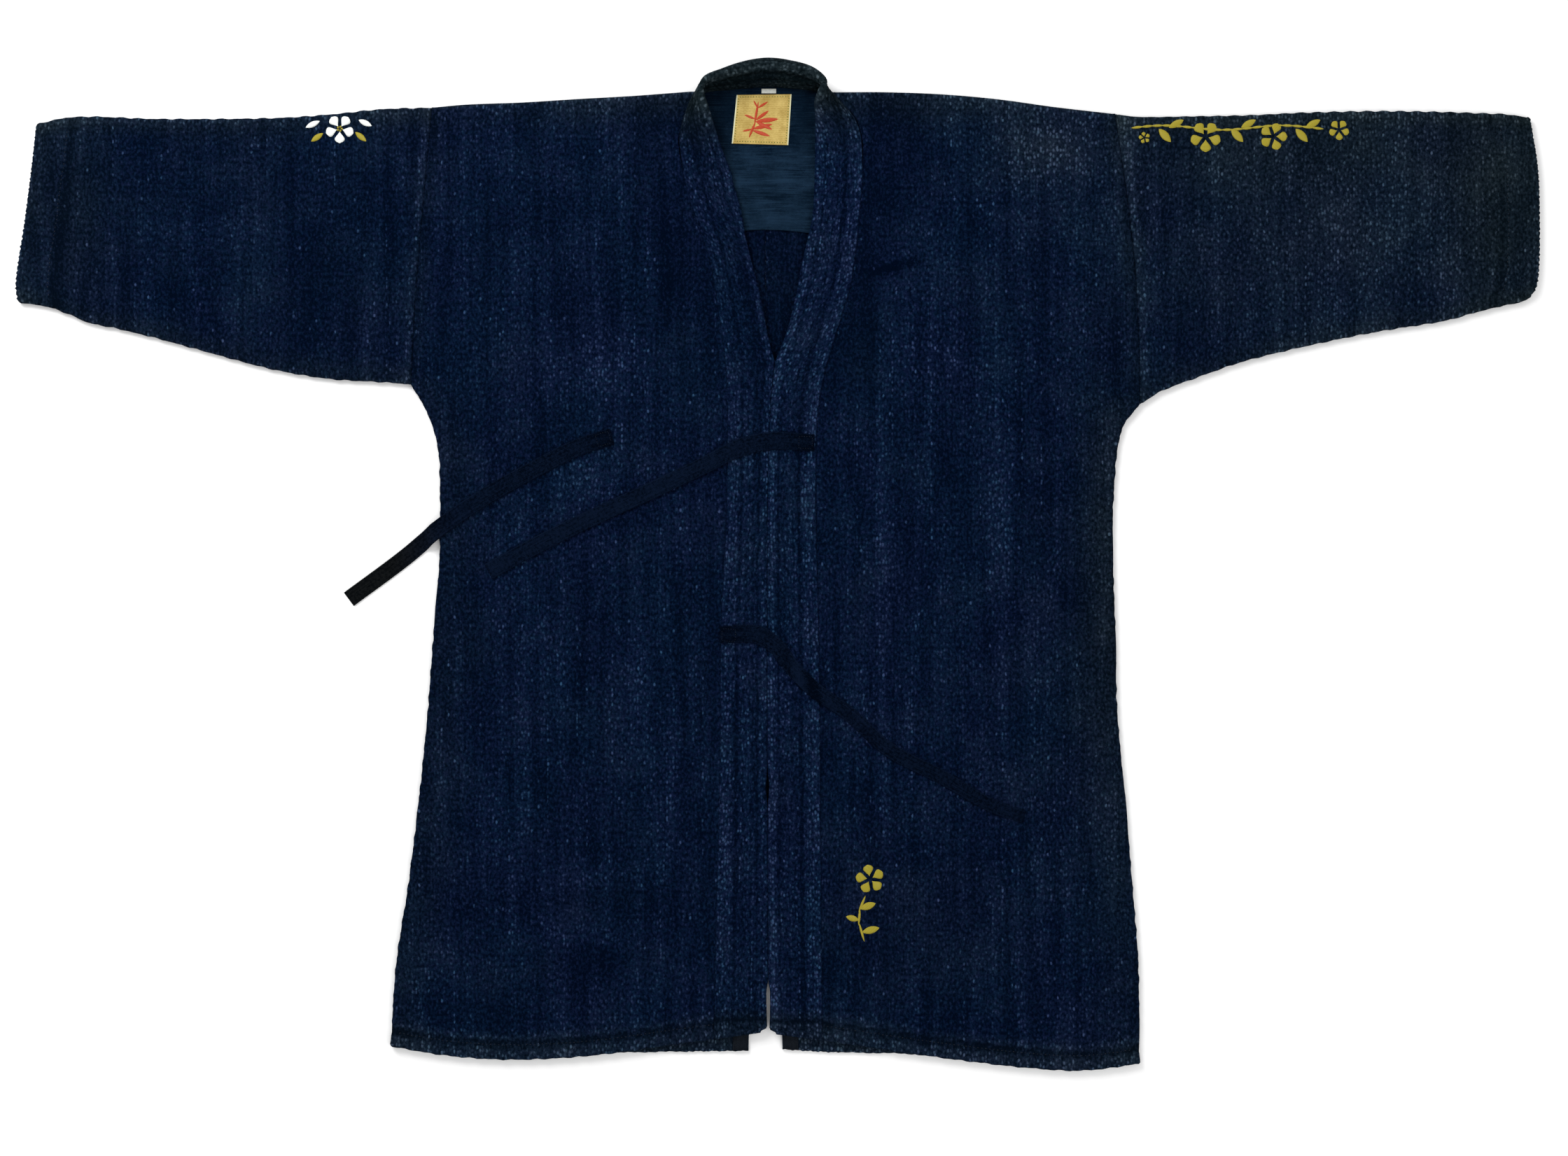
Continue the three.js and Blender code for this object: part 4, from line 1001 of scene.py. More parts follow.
# The collar band: its grid, a slit where its ends part, its stitches, its own hems and its slopes
BAND_REFINED = 3
BAND_SLIT = Line(-200, 11, 3)
ARCH_POINTS = 97
BAND_RIM = 0.03
BAND_STITCH = 4.4
BAND_STITCH_HEIGHT = 0.3
BAND_END_HEM = Line(16, 1.8, 1)
BAND_END_WEAR = (12, 30)
BAND_SEAM_SLOPE = 7
BAND_MEETING_SLOPE = 1.6
BAND_MEETING_DEPTH = 0.9
BAND_PANEL_STEP = BAND_WALL - WALL - PANEL_RISE + 0.15
BAND_OPENS = 15
BAND_OPEN_ROUND = 1.1 * BAND_WALL
BAND_INNER_ROUND = 1.2
BAND_GAP_OPENS = 12
BAND_GAP_NARROWS = 22

# Where the band passes from its right front to its left one, and how its forms change there
BAND_LEFT = (-20, 30)
BAND_LOW = 0.35
BAND_RIB_SHAPE = 0.7
BAND_STITCH_SHIFT = 7
BAND_VALLEY_LOSS = 0.45
BAND_VALLEY_FADES = (100, 200)

# Lines along the band, as shares of its width from the seam to the free edge
BAND_SEAM_RIDGE = Line(0.15, 0.13, 1)
BAND_FREE_RIDGE = Line(0.9, 0.09, 1)
BAND_VALLEYS = [Line(0.36, 0.035, 1), Line(0.78, 0.03, 1)]
BAND_ROLL = Line(0.5, 0.07, 1)

# What each form adds to the band's relief, and its painted highlight on ridges and painted shade in
# hollows
BAND_RELIEF = {"seam": 0.35, "free": 0.3, "valleys": -0.55, "roll": -1.9, "hem": -0.7}
BAND_LIGHT_AND_SHADE = {"seam": 0.22, "free": 0.25, "valleys": -0.35, "roll": -0.6, "hem": -0.8}
BAND_PALE = 1.12
# Painted shade in the rib grooves, and a painted highlight on the standing roll at the neck
BAND_GROOVE_SHADE = -0.12
BAND_ROLL_HIGHLIGHT = 0.06
BAND_INSIDE = 0.45
BAND_INSIDE_SHADE = 0.4
BAND_RIGHT_SHADE = 0.14
BAND_RIGHT_SHADES = (130, 250)
BAND_WORN = 0.02
BAND_NECK_WORN = 0.95
BAND_HEM_WORN = 0.4


def band_gap(y):
    """Half the gap between the two ends of the band."""
    opened = smooth(-y, -BAND_GAP_FROM, -BAND_GAP_FROM + BAND_GAP_OPENS)
    low = smooth(-y, -BAND_GAP_FROM + BAND_GAP_NARROWS, -CENTRE_LINE[0][Y])
    wide = BAND_GAP_OPEN * (1 - low) + BAND_GAP_HEM * low
    return (BAND_GAP_TOP * (1 - opened) + wide * opened + lines(y, BAND_SLIT)) / 2


def band_up_front(half):
    """The flat rows of the collar band up one front, from the hem to the side of the neck."""
    foot = half.front_hem(half.collar_seam(half.hem_start[Y]))
    seam_y = np.r_[foot + np.array(EDGE_ROWS), steps(foot + BAND_CELL, BAND_FLAT_TO, BAND_CELL)]
    corner = BAND_CORNER * (1 - smooth(seam_y, foot, foot + 2 * BAND_CORNER))
    closed_x = centre_line(seam_y) + half.sign * (band_gap(seam_y) + corner)
    free_x = np.where(seam_y > BAND_OPENING_Y, half.free_edge(seam_y), closed_x)
    flat = np.zeros_like(seam_y)
    seam_x = half.collar_seam(seam_y) + half.sign * BAND_OVERLAP
    return np.stack([seam_x, seam_y, free_x, seam_y + corner, flat + BAND_Z, flat, flat], 1)


def refine(rows):
    """Rows with one more put smoothly between each pair."""
    ends = np.vstack([rows[:1], rows, rows[-1:]])
    between = (9 * (ends[1:-2] + ends[2:-1]) - ends[:-3] - ends[3:]) / 16
    result = np.empty((2 * len(rows) - 1, rows.shape[1]))
    result[::2] = rows
    result[1::2] = between
    return result


def band_rows():
    """The rows of the band from hem to hem: up the right front, round the neck, down the left."""
    neck = np.array(BAND_AT_NECK, float)
    for _ in range(BAND_REFINED):
        neck = refine(neck)
    return np.vstack([band_up_front(RIGHT), neck, band_up_front(LEFT)[::-1]])


def arch(row, shares):
    """Points at shares of the width of one of the band's rows, and that width."""
    row = BandRow(*row)
    arm = (1 - row.stand) / 3
    run = math.hypot(row.free_x - row.seam_x, row.free_y - row.seam_y) * arm
    level = run / math.hypot(row.rise, run, 1e-6)
    foot_z = BAND_BASE_Z - BAND_FOOT_DROP * row.stand
    seam = np.array([row.seam_x, row.seam_y, foot_z + BAND_WALL / 2 * level])
    free = np.array([row.free_x, row.free_y, row.free_z])
    reach = (free - seam) * arm
    lift = np.array([0, 0, row.rise])
    t = np.linspace(0, 1, ARCH_POINTS)[:, None]
    curve = (1 - t) ** 3 * seam + 3 * (1 - t) ** 2 * t * (seam + reach + lift)
    curve = curve + 3 * (1 - t) * t**2 * (free - reach + lift) + t**3 * free
    length = lengths(curve)
    points = [np.interp(shares * length[-1], length, curve[:, i]) for i in range(3)]
    return np.stack(points, 1), length[-1]


def collar_band():
    """The collar band: a thick ribbed strip up one front, round the neck and down the other."""
    rows = band_rows()
    rim = (1 - np.cos(np.linspace(0, np.pi, 5))) / 2 * BAND_RIM
    shares = np.unique(np.r_[rim, np.linspace(BAND_RIM, 1 - BAND_RIM, BAND_ACROSS), 1 - rim])
    arches = [arch(row, shares) for row in rows]
    points = np.array([line for line, _ in arches])
    width = np.array([length for _, length in arches])[:, None]
    along = lengths(points[:, len(shares) // 2])[:, None]
    shares = shares[None, :]
    from_end = np.minimum(along, along[-1] - along)
    from_seam, from_free = shares * width, (1 - shares) * width
    from_edge = np.minimum(from_seam, from_free)
    y, standing = rows[:, 1:2], rows[:, 6:7]
    left = smooth(rows[:, 0:1], *BAND_LEFT)

    rib = np.abs(np.sin(np.pi * BAND_RIBS * shares))
    inside = 1 - near(shares, BAND_RIM) - near(1 - shares, BAND_RIM)
    deep = BAND_LOW + (1 - BAND_LOW) * standing
    groove = -BAND_GROOVE / 2 * (1 - rib**BAND_RIB_SHAPE) * deep * inside
    turn = 2 * np.pi * along / BAND_STITCH + BAND_STITCH_SHIFT * np.round(BAND_RIBS * shares)
    stitch = BAND_STITCH_HEIGHT * (1 - rib) * np.sin(turn)
    valleys_lost = BAND_VALLEY_LOSS * left * smooth(y, *BAND_VALLEY_FADES)
    forms = {
        "seam": lines(shares, BAND_SEAM_RIDGE),
        "free": lines(shares, BAND_FREE_RIDGE) * (BAND_LOW + (1 - BAND_LOW) * left),
        "valleys": lines(shares, *BAND_VALLEYS) * (1 - valleys_lost),
        "roll": lines(shares, BAND_ROLL) * standing,
        "hem": lines(from_end, BAND_END_HEM),
    }
    form = sum(BAND_RELIEF[name] * amount for name, amount in forms.items())
    round_end = rounded(from_end, EDGE_ROUND, BAND_WALL / 2)
    opening = smooth(y, BAND_OPENING_Y - BAND_OPENS, BAND_OPENING_Y + BAND_OPENS)
    to_panel = BAND_PANEL_STEP * (1 - smooth(from_seam, 0, BAND_SEAM_SLOPE)) * (1 - standing)
    meeting = BAND_MEETING_DEPTH * (1 - smooth(from_free, 0, BAND_MEETING_SLOPE)) * (1 - opening)
    above = groove + stitch + form + round_end - to_panel - meeting
    above = above + opening * rounded(from_free, CUT_ROUND, BAND_OPEN_ROUND)
    below = groove + round_end + rounded(from_edge, BAND_INNER_ROUND, BAND_WALL / 2)

    # Painted highlight on ridges and on the roll, painted shade in valleys, grooves, creases and inside
    # the neck
    tone = BAND_PALE + sum(BAND_LIGHT_AND_SHADE[name] * amount for name, amount in forms.items())
    roll_light_and_shade = BAND_ROLL_HIGHLIGHT - BAND_INSIDE_SHADE * (shares < BAND_INSIDE)
    tone = tone + BAND_GROOVE_SHADE * (1 - rib) + standing * roll_light_and_shade
    shaded = BAND_RIGHT_SHADE * smooth(y, *BAND_RIGHT_SHADES)
    tone = tone - shaded * (1 - left) * (1 - standing)
    worn = BAND_WORN + BAND_NECK_WORN * standing + BAND_HEM_WORN * (1 - smooth(from_end, *BAND_END_WEAR))
    cloth = Cloth()
    x, y, z = np.moveaxis(points, 2, 0)
    cloth.weave(cloth.add(x, y, z, from_seam, along, above, below, tone, worn)[:, ::-1])
    return cloth


LINING_SHOWN = [(-36, -20), (14, 30)]
LINING_WRINKLES = [Line(367, 5, 0.7), Line(341, 5, 1.3), Line(318, 6, 0.5)]
LINING_CREASE_HEIGHT = 1.3
LINING_ACROSS_CELL = 1.6 * LINING_CELL
LINING_RIM = [0, 0.006, 0.015]
LINING_NECK_TURN = (-6, 8)
LINING_HEM = (5, 6)
LINING_HEM_HEIGHT = 0.25
LINING_STITCH = Line(4.6, 0.9, -0.2)
# Painted highlight on the lining's wrinkle crests and painted shade between them
LINING_WRINKLE_LIGHT_AND_SHADE = [Line(343, 5, 0.2), Line(333, 5, -0.15), Line(368, 5, 0.1)]
LINING_SHADE = 0.3
LINING_SHADE_FROM = (355, 395)
LINING_CREASES = [
    Fold(-32, 354, 24, 352, 1.6, 0.5),
    Fold(-28, 349.5, 10, 348, 1.4, -0.45),
    Fold(-24, 345, 26, 346.5, 1.6, 0.45),
    Fold(-34, 340.5, 22, 342, 1.8, -0.7),
    Fold(-30, 336, 26, 334.5, 1.8, 0.4),
    Fold(-20, 330, 22, 331, 1.6, -0.3),
    Fold(-26, 325, 8, 326.5, 2, 0.3),
    Fold(-10, 319, 24, 318, 1.8, -0.3),
    Fold(-26, 309, 18, 311, 2.2, 0.3),
    Fold(-34, 362, 22, 364, 1.8, 0.35),
    Fold(-30, 371, 20, 370, 1.6, -0.3),
]


def lining_shown(x):
    """1 where the lining shows between the two ends of the band, and 0 under them."""
    (left_from, left_to), (right_from, right_to) = LINING_SHOWN
    return smooth(x, left_from, left_to) * (1 - smooth(x, right_from, right_to))


def lining_z(x, y):
    """Height of the lining's middle surface."""
    return LINING_Z + lining_shown(x) * lines(y, *LINING_WRINKLES)


def shoulder_lining():
    """The plain cotton lining across the shoulders, which shows inside the back of the neck."""
    cloth = Cloth()
    places = steps(-LINING_HALF_WIDTH, LINING_HALF_WIDTH, LINING_ACROSS_CELL)[None, :]
    rows = steps(LINING_RIM[-1], 1, LINING_CELL / (LINING_HIGH - LINING_LOW))
    shares = np.unique(np.r_[LINING_RIM, rows])[:, None]
    x = CENTRE_X + places
    from_centre = np.abs(places)
    margin = NECKLINE_MARGIN * smooth(NECK_HALF - from_centre, *LINING_NECK_TURN)
    top = np.where(from_centre > LINING_NECK_HALF, LINING_SHOULDER_TOP, back_neckline(x) + margin)
    bottom = LINING_LOW - LINING_ARCH * np.minimum(from_centre / LINING_NECK_HALF, 1) ** 2
    y = bottom * (1 - shares) + top * shares
    up = y - bottom
    hem = LINING_HEM_HEIGHT * (1 - smooth(up, *LINING_HEM)) + lines(up, LINING_STITCH)
    creases = lining_shown(x) * fold_height(x, y, LINING_CREASES)
    z = lining_z(x, y) + LINING_CREASE_HEIGHT * creases
    # Paler on crease crests and darker in their troughs: painted light and shade; darker towards the
    # neck: painted shade
    tone = 1 + lines(y, *LINING_WRINKLE_LIGHT_AND_SHADE) - LINING_SHADE * smooth(y, *LINING_SHADE_FROM)
    cloth.weave(cloth.add(x, y, z, x, y, hem, 0, tone + creases / 2, 0))
    return cloth


PATCH_RIM = [0, 0.4, 1]
PATCH_INSET = 1.8
PATCH_CELL = 2


def patch_on_lining(corners, wall):
    """A flat patch that lies on the lining, given by its four corners."""
    cloth = Cloth()
    top_left, top_right, bottom_right, bottom_left = np.array(corners, float)
    width = np.linalg.norm(top_right - top_left)
    height = np.linalg.norm(top_left - bottom_left)
    across = edged_steps(width, PATCH_RIM, PATCH_INSET, PATCH_CELL)[None, :]
    up = edged_steps(height, PATCH_RIM, PATCH_INSET, PATCH_CELL)[:, None]
    u, v = (across / width)[..., None], (up / height)[..., None]
    low = bottom_left * (1 - u) + bottom_right * u
    high = top_left * (1 - u) + top_right * u
    x, y = np.moveaxis(low * (1 - v) + high * v, 2, 0)
    z = lining_z(x, y) + LINING_WALL / 2 + LAY_GAP + wall / 2
    from_edge = np.minimum(np.minimum(across, width - across), np.minimum(up, height - up))
    cloth.weave(cloth.add(x, y, z, across, up, rounded(from_edge, PATCH_RIM[-1], wall), 0))
    return cloth


FACING_STITCH = Line(2, 0.8, -0.12)
FACING_ACROSS = 8
FACING_CELL = 4


def vent_facing(half):
    """The narrow facing along one edge of the centre-back vent, inside the back panel."""
    cloth = Cloth()
    z = WALL + LAY_GAP + FACING_WALL / 2
    side = np.linspace(0, 1, FACING_ACROSS)[None, :]
    distance = steps(0, FACING_LENGTH, FACING_CELL)[:, None]
    y = half.back_hem_start[Y] + distance
    for _ in range(SETTLE):
        edge = CENTRE_X + half.sign * (centre_gap(y) + FACING_SETBACK)
        x = edge + half.sign * side * FACING_WIDTH
        y = half.back_hem(x) + FACING_SETBACK + distance
    from_edge = np.minimum(side, 1 - side) * FACING_WIDTH
    relief = rounded(from_edge, 1, FACING_WALL) + lines(from_edge, FACING_STITCH)
    numbers = cloth.add(x, y, z, side * FACING_WIDTH, distance, relief, 0)
    cloth.weave(numbers[:, ::-1] if half.sign < 0 else numbers)
    return cloth


# How crumpled a tie's twisted stretch is, and how much it has faded away from its sewn end
TieState = namedtuple("TieState", "crumple fading")
TIE_STATES = {
    "tie_upper_left": TieState(0, 0.16),
    "tie_lower_right": TieState(1.2, 0),
    "tie_outer_right": TieState(0, 0),
}
TIE_ACROSS = 15
TIE_FLAT = 0.43
TIE_RIM = [0.46, 0.485, 0.5]
TIE_FOLDED = Line(1.8, 0.6, -0.16)
# Painted sheen on the rounded edge of a tie, and painted shade along the fold line beside it
TIE_EDGE_SHEEN_AND_SHADE = [Line(0, 0.8, 0.25), Line(1.8, 0.8, -0.1)]
TIE_TWIST = Line(95, 28, 1)
# Painted highlight and shade along the crumpled twist
TIE_TWIST_LIGHT_AND_SHADE = 0.4
TIE_TWIST_RUN = 6
TIE_TWIST_SLANT = 3
TIE_EDGE_ROUND = 0.7
TIE_END_ROUND = 0.9
TIE_WAVE = 0.5
TIE_WAVE_RUN = 23
TIE_FADES = (45, 105)
TIE_KEEPS = (0.2, 0.5)
TIE_KEPT = 0.7
TIE_SEWN = Line(8, 16, 0.3)
TIE_SEWN_MIDDLE = Line(0, 0.14, 0.35)
TIE_PAST_PANEL = (-352, -286)


def tie_bed(under):
    """The height on which a tie lies: over all that is under it, with soft slopes between."""
    high = widest(widest(under, 3, 0), 2, 1)
    blurred = blur(widest(under, 5, 0).max(axis=1), 3)[:, None]
    share = np.minimum(np.abs(high - blurred), 1)
    bed = np.maximum(high, blurred * (1 - share) + high * share)
    bed = np.maximum(blur(widest(bed, 2, 0), 2), high)
    return np.where(high.max(axis=1, keepdims=True) > 0, bed + TIE_LIFT, bed)


def tie(rows, ground, state):
    """One tie: a flat strip that lies on whatever is under it."""
    rows = np.array(rows, float)
    knots = lengths(rows[:, :2])
    along = np.linspace(0, knots[-1], round(knots[-1] / TIE_STEP) + 1)
    x, y, width = (
        through(knots, values, np.gradient(values, knots), along)[:, None] for values in rows.T
    )
    along = along[:, None]
    ahead = np.hstack([np.gradient(x, axis=0), np.gradient(y, axis=0)])
    ahead /= np.linalg.norm(ahead, axis=1)[:, None]
    rim = np.array(TIE_RIM)
    across = np.unique(np.r_[-rim, np.linspace(-TIE_FLAT, TIE_FLAT, TIE_ACROSS), rim])[::-1]
    x = x - ahead[:, 1:] * across * width
    y = y + ahead[:, :1] * across * width
    from_edge = (0.5 - np.abs(across)) * width
    from_end = np.minimum(along, along[-1] - along)
    relief = rounded(from_edge, TIE_EDGE_ROUND, TIE_WALL) + rounded(from_end, TIE_END_ROUND, TIE_WALL)
    relief = relief + lines(from_edge, TIE_FOLDED)
    wave = TIE_WAVE * np.sin(along / TIE_WAVE_RUN + 1) * across
    slanted = np.sin(along / TIE_TWIST_RUN + TIE_TWIST_SLANT * across)
    twist = state.crumple * lines(along, TIE_TWIST) * slanted
    z = tie_bed(ground.heights(x, y)) + TIE_WALL / 2 + np.maximum(wave + np.abs(twist), 0)
    # Painted sheen and shade at the edges and on the twist
    tone = 1 + lines(from_edge, *TIE_EDGE_SHEEN_AND_SHADE) + TIE_TWIST_LIGHT_AND_SHADE * twist
    faded = smooth(along, *TIE_FADES) * (1 - TIE_KEPT * smooth(across, *TIE_KEEPS))
    sewn = near(along - TIE_SEWN.at, TIE_SEWN.reach)
    tone = tone + state.fading * faded - sewn * (TIE_SEWN.amount - lines(across, TIE_SEWN_MIDDLE))
    worn = 1 - smooth(x, *TIE_PAST_PANEL)
    cloth = Cloth()
    cloth.weave(cloth.add(x, y, z, across * width, along, relief, 0, tone, worn))
    return cloth


def widest(values, reach, axis):
    """The highest of each value's neighbours along one axis."""
    result = values.copy()
    length = values.shape[axis]
    for shift in range(1, reach + 1):
        low = np.take(values, np.maximum(np.arange(length) - shift, 0), axis)
        high = np.take(values, np.minimum(np.arange(length) + shift, length - 1), axis)
        result = np.maximum(result, np.maximum(low, high))
    return result


def blur(values, rounds):
    """Values averaged with their neighbours along the first axis."""
    for _ in range(rounds):
        before = np.concatenate([values[:1], values[:-1]])
        after = np.concatenate([values[1:], values[-1:]])
        values = (before + 2 * values + after) / 4
    return values


def linear(value):
    share = value / 255
    return share / 12.92 if share <= 0.04045 else ((share + 0.055) / 1.055) ** 2.4


def srgb(red, green, blue):
    """A colour given as a picture's 0 to 255 values, as the linear values that a shader takes."""
    return (linear(red), linear(green), linear(blue), 1)


SHEEN_ROUGHNESS = 0.45
SHEEN_TINT = srgb(140, 155, 185)
WHITE = (1, 1, 1, 1)


class Shader:
    """A material and short calls that add nodes to it."""

    def __init__(self, name, roughness, specular, sheen=0.0, sheen_tint=WHITE):
        self.material = bpy.data.materials.new(name)
        self.material.use_nodes = True
        self.tree = self.material.node_tree
        self.surface = self.tree.nodes["Principled BSDF"]
        for socket, value in (
            ("Roughness", roughness),
            ("Specular IOR Level", specular),
            ("Sheen Weight", sheen),
            ("Sheen Roughness", SHEEN_ROUGHNESS),
            ("Sheen Tint", sheen_tint),
        ):
            self.surface.inputs[socket].default_value = value

    def node(self, kind, inputs, output=0, **settings):
        """Adds a node, sets or links its inputs, and gives one of its outputs."""
        made = self.tree.nodes.new(kind)
        for key, value in settings.items():
            setattr(made, key, value)
        for key, value in inputs.items():
            if isinstance(value, bpy.types.NodeSocket):
                self.tree.links.new(value, made.inputs[key])
            else:
                made.inputs[key].default_value = value
        return made.outputs[output]

    def attribute(self, name, output="Fac"):
        return self.node("ShaderNodeAttribute", {}, output, attribute_name=name)

    def axes(self, vector):
        """The separate x, y and z of a vector."""
        return self.node("ShaderNodeSeparateXYZ", {0: vector}).node.outputs

    def math(self, operation, first, second=0.0, third=0.0):
        return self.node("ShaderNodeMath", {0: first, 1: second, 2: third}, operation=operation)

    def total(self, *terms, plus=0.0):
        """The sum of (value, factor, middle) terms: each value less its middle, times its factor."""
        result = plus - sum(factor * middle for _, factor, middle in terms)
        for value, factor, _ in terms:
            result = self.math("MULTIPLY_ADD", value, factor, result)
        return result

    def mix(self, share, low, high, blend="MIX"):
        inputs = {0: share, 6: low, 7: high}
        return self.node("ShaderNodeMix", inputs, 2, data_type="RGBA", blend_type=blend)

    def noise(self, vector, scale, detail=2.0, roughness=0.5):
        inputs = {"Vector": vector, "Scale": scale, "Detail": detail, "Roughness": roughness}
        return self.node("ShaderNodeTexNoise", inputs)

    def ramp(self, value, low, high):
        """0 at low, 1 at high and a smooth step between them."""
        inputs = {0: value, 1: low, 2: high}
        return self.node("ShaderNodeMapRange", inputs, interpolation_type="SMOOTHSTEP")

    def scaled(self, vector, x, y):
        inputs = {0: vector, 1: (x, y, 1)}
        return self.node("ShaderNodeVectorMath", inputs, operation="MULTIPLY")

    def bump(self, height, distance):
        inputs = {"Height": height, "Distance": distance * MM, "Strength": 1.0}
        return self.node("ShaderNodeBump", inputs)

    def finish(self, colour, normal):
        self.tree.links.new(colour, self.surface.inputs["Base Color"])
        self.tree.links.new(normal, self.surface.inputs["Normal"])
        return self.material


# The weave from dark to pale, where it is blue and where wear has greyed it
INDIGO = (srgb(0, 6, 21), srgb(7, 19, 42), srgb(42, 62, 92))
WORN = (srgb(5, 12, 15), srgb(20, 29, 33), srgb(64, 76, 82))
TEAL_SHADE = (0.75, 1.08, 1.0, 1)
VIOLET_SHADE = (1.22, 0.95, 1.04, 1)


def grains(shader, vector, pitch_across, pitch_along):
    """The rice grains of the weave: their height, 0 to 1, and a number of each grain's own."""
    place = shader.scaled(vector, 1 / pitch_across, 1 / pitch_along)
    inputs = {"Vector": place, "Scale": 1.0, "Randomness": 0.85}
    cell = shader.node("ShaderNodeTexVoronoi", inputs, voronoi_dimensions="2D")
    seed = shader.node("ShaderNodeSeparateColor", {0: cell.node.outputs["Color"]})
    return shader.ramp(cell, 0.55, 0.15), seed


DARK_TO_MIDDLE = (0, 0.42)
MIDDLE_TO_PALE = (0.36, 1.3)


def dark_to_pale(shader, light, colours):
    """A colour from dark through middle to pale as light grows."""
    dark, middle, pale = colours
    low = shader.mix(shader.ramp(light, *DARK_TO_MIDDLE), dark, middle)
    return shader.mix(shader.ramp(light, *MIDDLE_TO_PALE), low, pale)


def indigo_cloth(name, pitch_across=2.9, pitch_along=4.4, shine=0.85, dashes=0.0):
    """Indigo rice-grain weave, faded on its grains and worn grey at its edges.

    dashes darkens short runs between the grains, as rows of stitches lengthwise do.
    """
    shader = Shader(name, roughness=0.85, specular=0.01, sheen=0.006, sheen_tint=SHEEN_TINT)
    vector = shader.attribute("weave", "Vector")
    tone = shader.attribute("tone")
    height, seed = grains(shader, vector, pitch_across, pitch_along)
    mottle = shader.noise(shader.scaled(vector, 1, 0.75), 0.4, 3, 0.65)
    fibre = shader.noise(vector, 1.6, 2, 0.7)
    fine_hue = shader.noise(vector, 0.22, 2, 0.6)
    wide_hue = shader.noise(shader.scaled(vector, 1, 0.6), 0.014, 2, 0.5)
    hue = shader.total((fine_hue, 0.8, 0), (wide_hue, 0.6, 0), plus=-0.2)
    cloud = shader.noise(vector, 0.018, 3, 0.6)
    streak = shader.noise(shader.scaled(vector, 0.09, 0.006), 1.0, 3, 0.6)
    chain = shader.ramp(shader.noise(shader.scaled(vector, 0.26, 0.003), 1.0, 1), 0.64, 0.72)
    dash = shader.noise(shader.scaled(vector, 0.36, 0.11), 1.0, 1)

    glow = shader.total((chain, 0.65, 0), (tone, 1.5, 0), (streak, 1.1, 0), plus=-1.73)
    grain = shader.math("MULTIPLY", height, shader.math("POWER", seed, 1.8))
    bright = shader.math("MULTIPLY", grain, shader.math("MAXIMUM", glow, 0.12))
    glint = shader.math("MULTIPLY", height, shader.ramp(seed, 0.99, 0.997))
    light = shader.total(
        (bright, shine, 0),
        (glint, 0.5, 0),
        (height, 0.1, 0),
        (mottle, 1.7, 0.5),
        (fibre, 0.9, 0.5),
        (streak, 0.6, 0.5),
        (cloud, 0.5, 0.5),
        (tone, 0.45, 1),
        (dash, dashes, 0.48),
        plus=0.19,
    )
    shade = shader.mix(shader.ramp(hue, 0.36, 0.64), TEAL_SHADE, VIOLET_SHADE)
    blue = shader.mix(1.0, dark_to_pale(shader, light, INDIGO), shade, "MULTIPLY")
    greyed = shader.total((shader.attribute("worn"), 1, 0), (cloud, 0.5, 0.5))
    greyed = shader.node("ShaderNodeClamp", {0: greyed})
    colour = shader.mix(greyed, blue, dark_to_pale(shader, light, WORN))
    relief = shader.total((height, 0.5, 0), (mottle, 1, 0), (fibre, 0.4, 0))
    return shader.finish(colour, shader.bump(relief, 0.5))


GREYED = (srgb(4, 6, 8), srgb(18, 20, 21))


def plain_weave(name, colours, thread, slub_run=(0.9, 0.06), slubs=0.5, mottled=0.4):
    """A plain weave: threads over and under each other, thread millimetres apart."""
    shader = Shader(name, roughness=0.85, specular=0.01, sheen=0.004, sheen_tint=SHEEN_TINT)
    vector = shader.attribute("weave", "Vector")
    parts = shader.axes(vector)
    warp, weft = (
        shader.math("SINE", shader.math("MULTIPLY", parts[axis], math.pi / thread)) for axis in (X, Y)
    )
    over = shader.math("MULTIPLY", warp, weft)
    fibre = shader.noise(vector, 1.6, 3, 0.6)
    cloud = shader.noise(vector, 0.05, 3, 0.6)
    slub = shader.noise(shader.scaled(vector, *slub_run), 1.0, 2)
    mottle = shader.noise(vector, 0.4, 2, 0.6)
    light = shader.total(
        (over, 0.22, 0),
        (fibre, 0.9, 0.5),
        (cloud, 0.8, 0.5),
        (slub, slubs, 0.5),
        (mottle, mottled, 0.5),
        (shader.attribute("tone"), 1, 1),
        plus=0.5,
    )
    share = shader.ramp(light, 0.0, 1.0)
    worn = shader.attribute("worn")
    colour = shader.mix(worn, shader.mix(share, *colours), shader.mix(share, *GREYED))
    relief = shader.total((over, 0.35, 0), (fibre, 0.3, 0), (mottle, 0.6, 0))
    return shader.finish(colour, shader.bump(relief, 0.3))


STITCHES_PER_MM = 1.3


def thread(name, dark, light):
    """Embroidery thread: satin stitches side by side, square to the petal's length."""
    shader = Shader(name, roughness=0.45, specular=0.25, sheen=0.05)
    vector = shader.attribute("weave", "Vector")
    wobble = shader.noise(vector, 0.8, 2)
    line = shader.total((shader.axes(vector)[X], 2 * math.pi * STITCHES_PER_MM, 0), (wobble, 3, 0))
    ridge = shader.math("MULTIPLY_ADD", shader.math("SINE", line), 0.5, 0.5)
    fibre = shader.noise(vector, 3.0, 3, 0.6)
    # The crest of each stitch is paler: painted sheen on the satin
    share = shader.total((ridge, 0.55, 0), (fibre, 0.5, 0))
    colour = shader.mix(shader.ramp(share, 0.1, 0.95), dark, light)
    return shader.finish(colour, shader.bump(ridge, 0.12))


LABEL_RIB = 0.45
SELVEDGE = (1.4, 0.7)


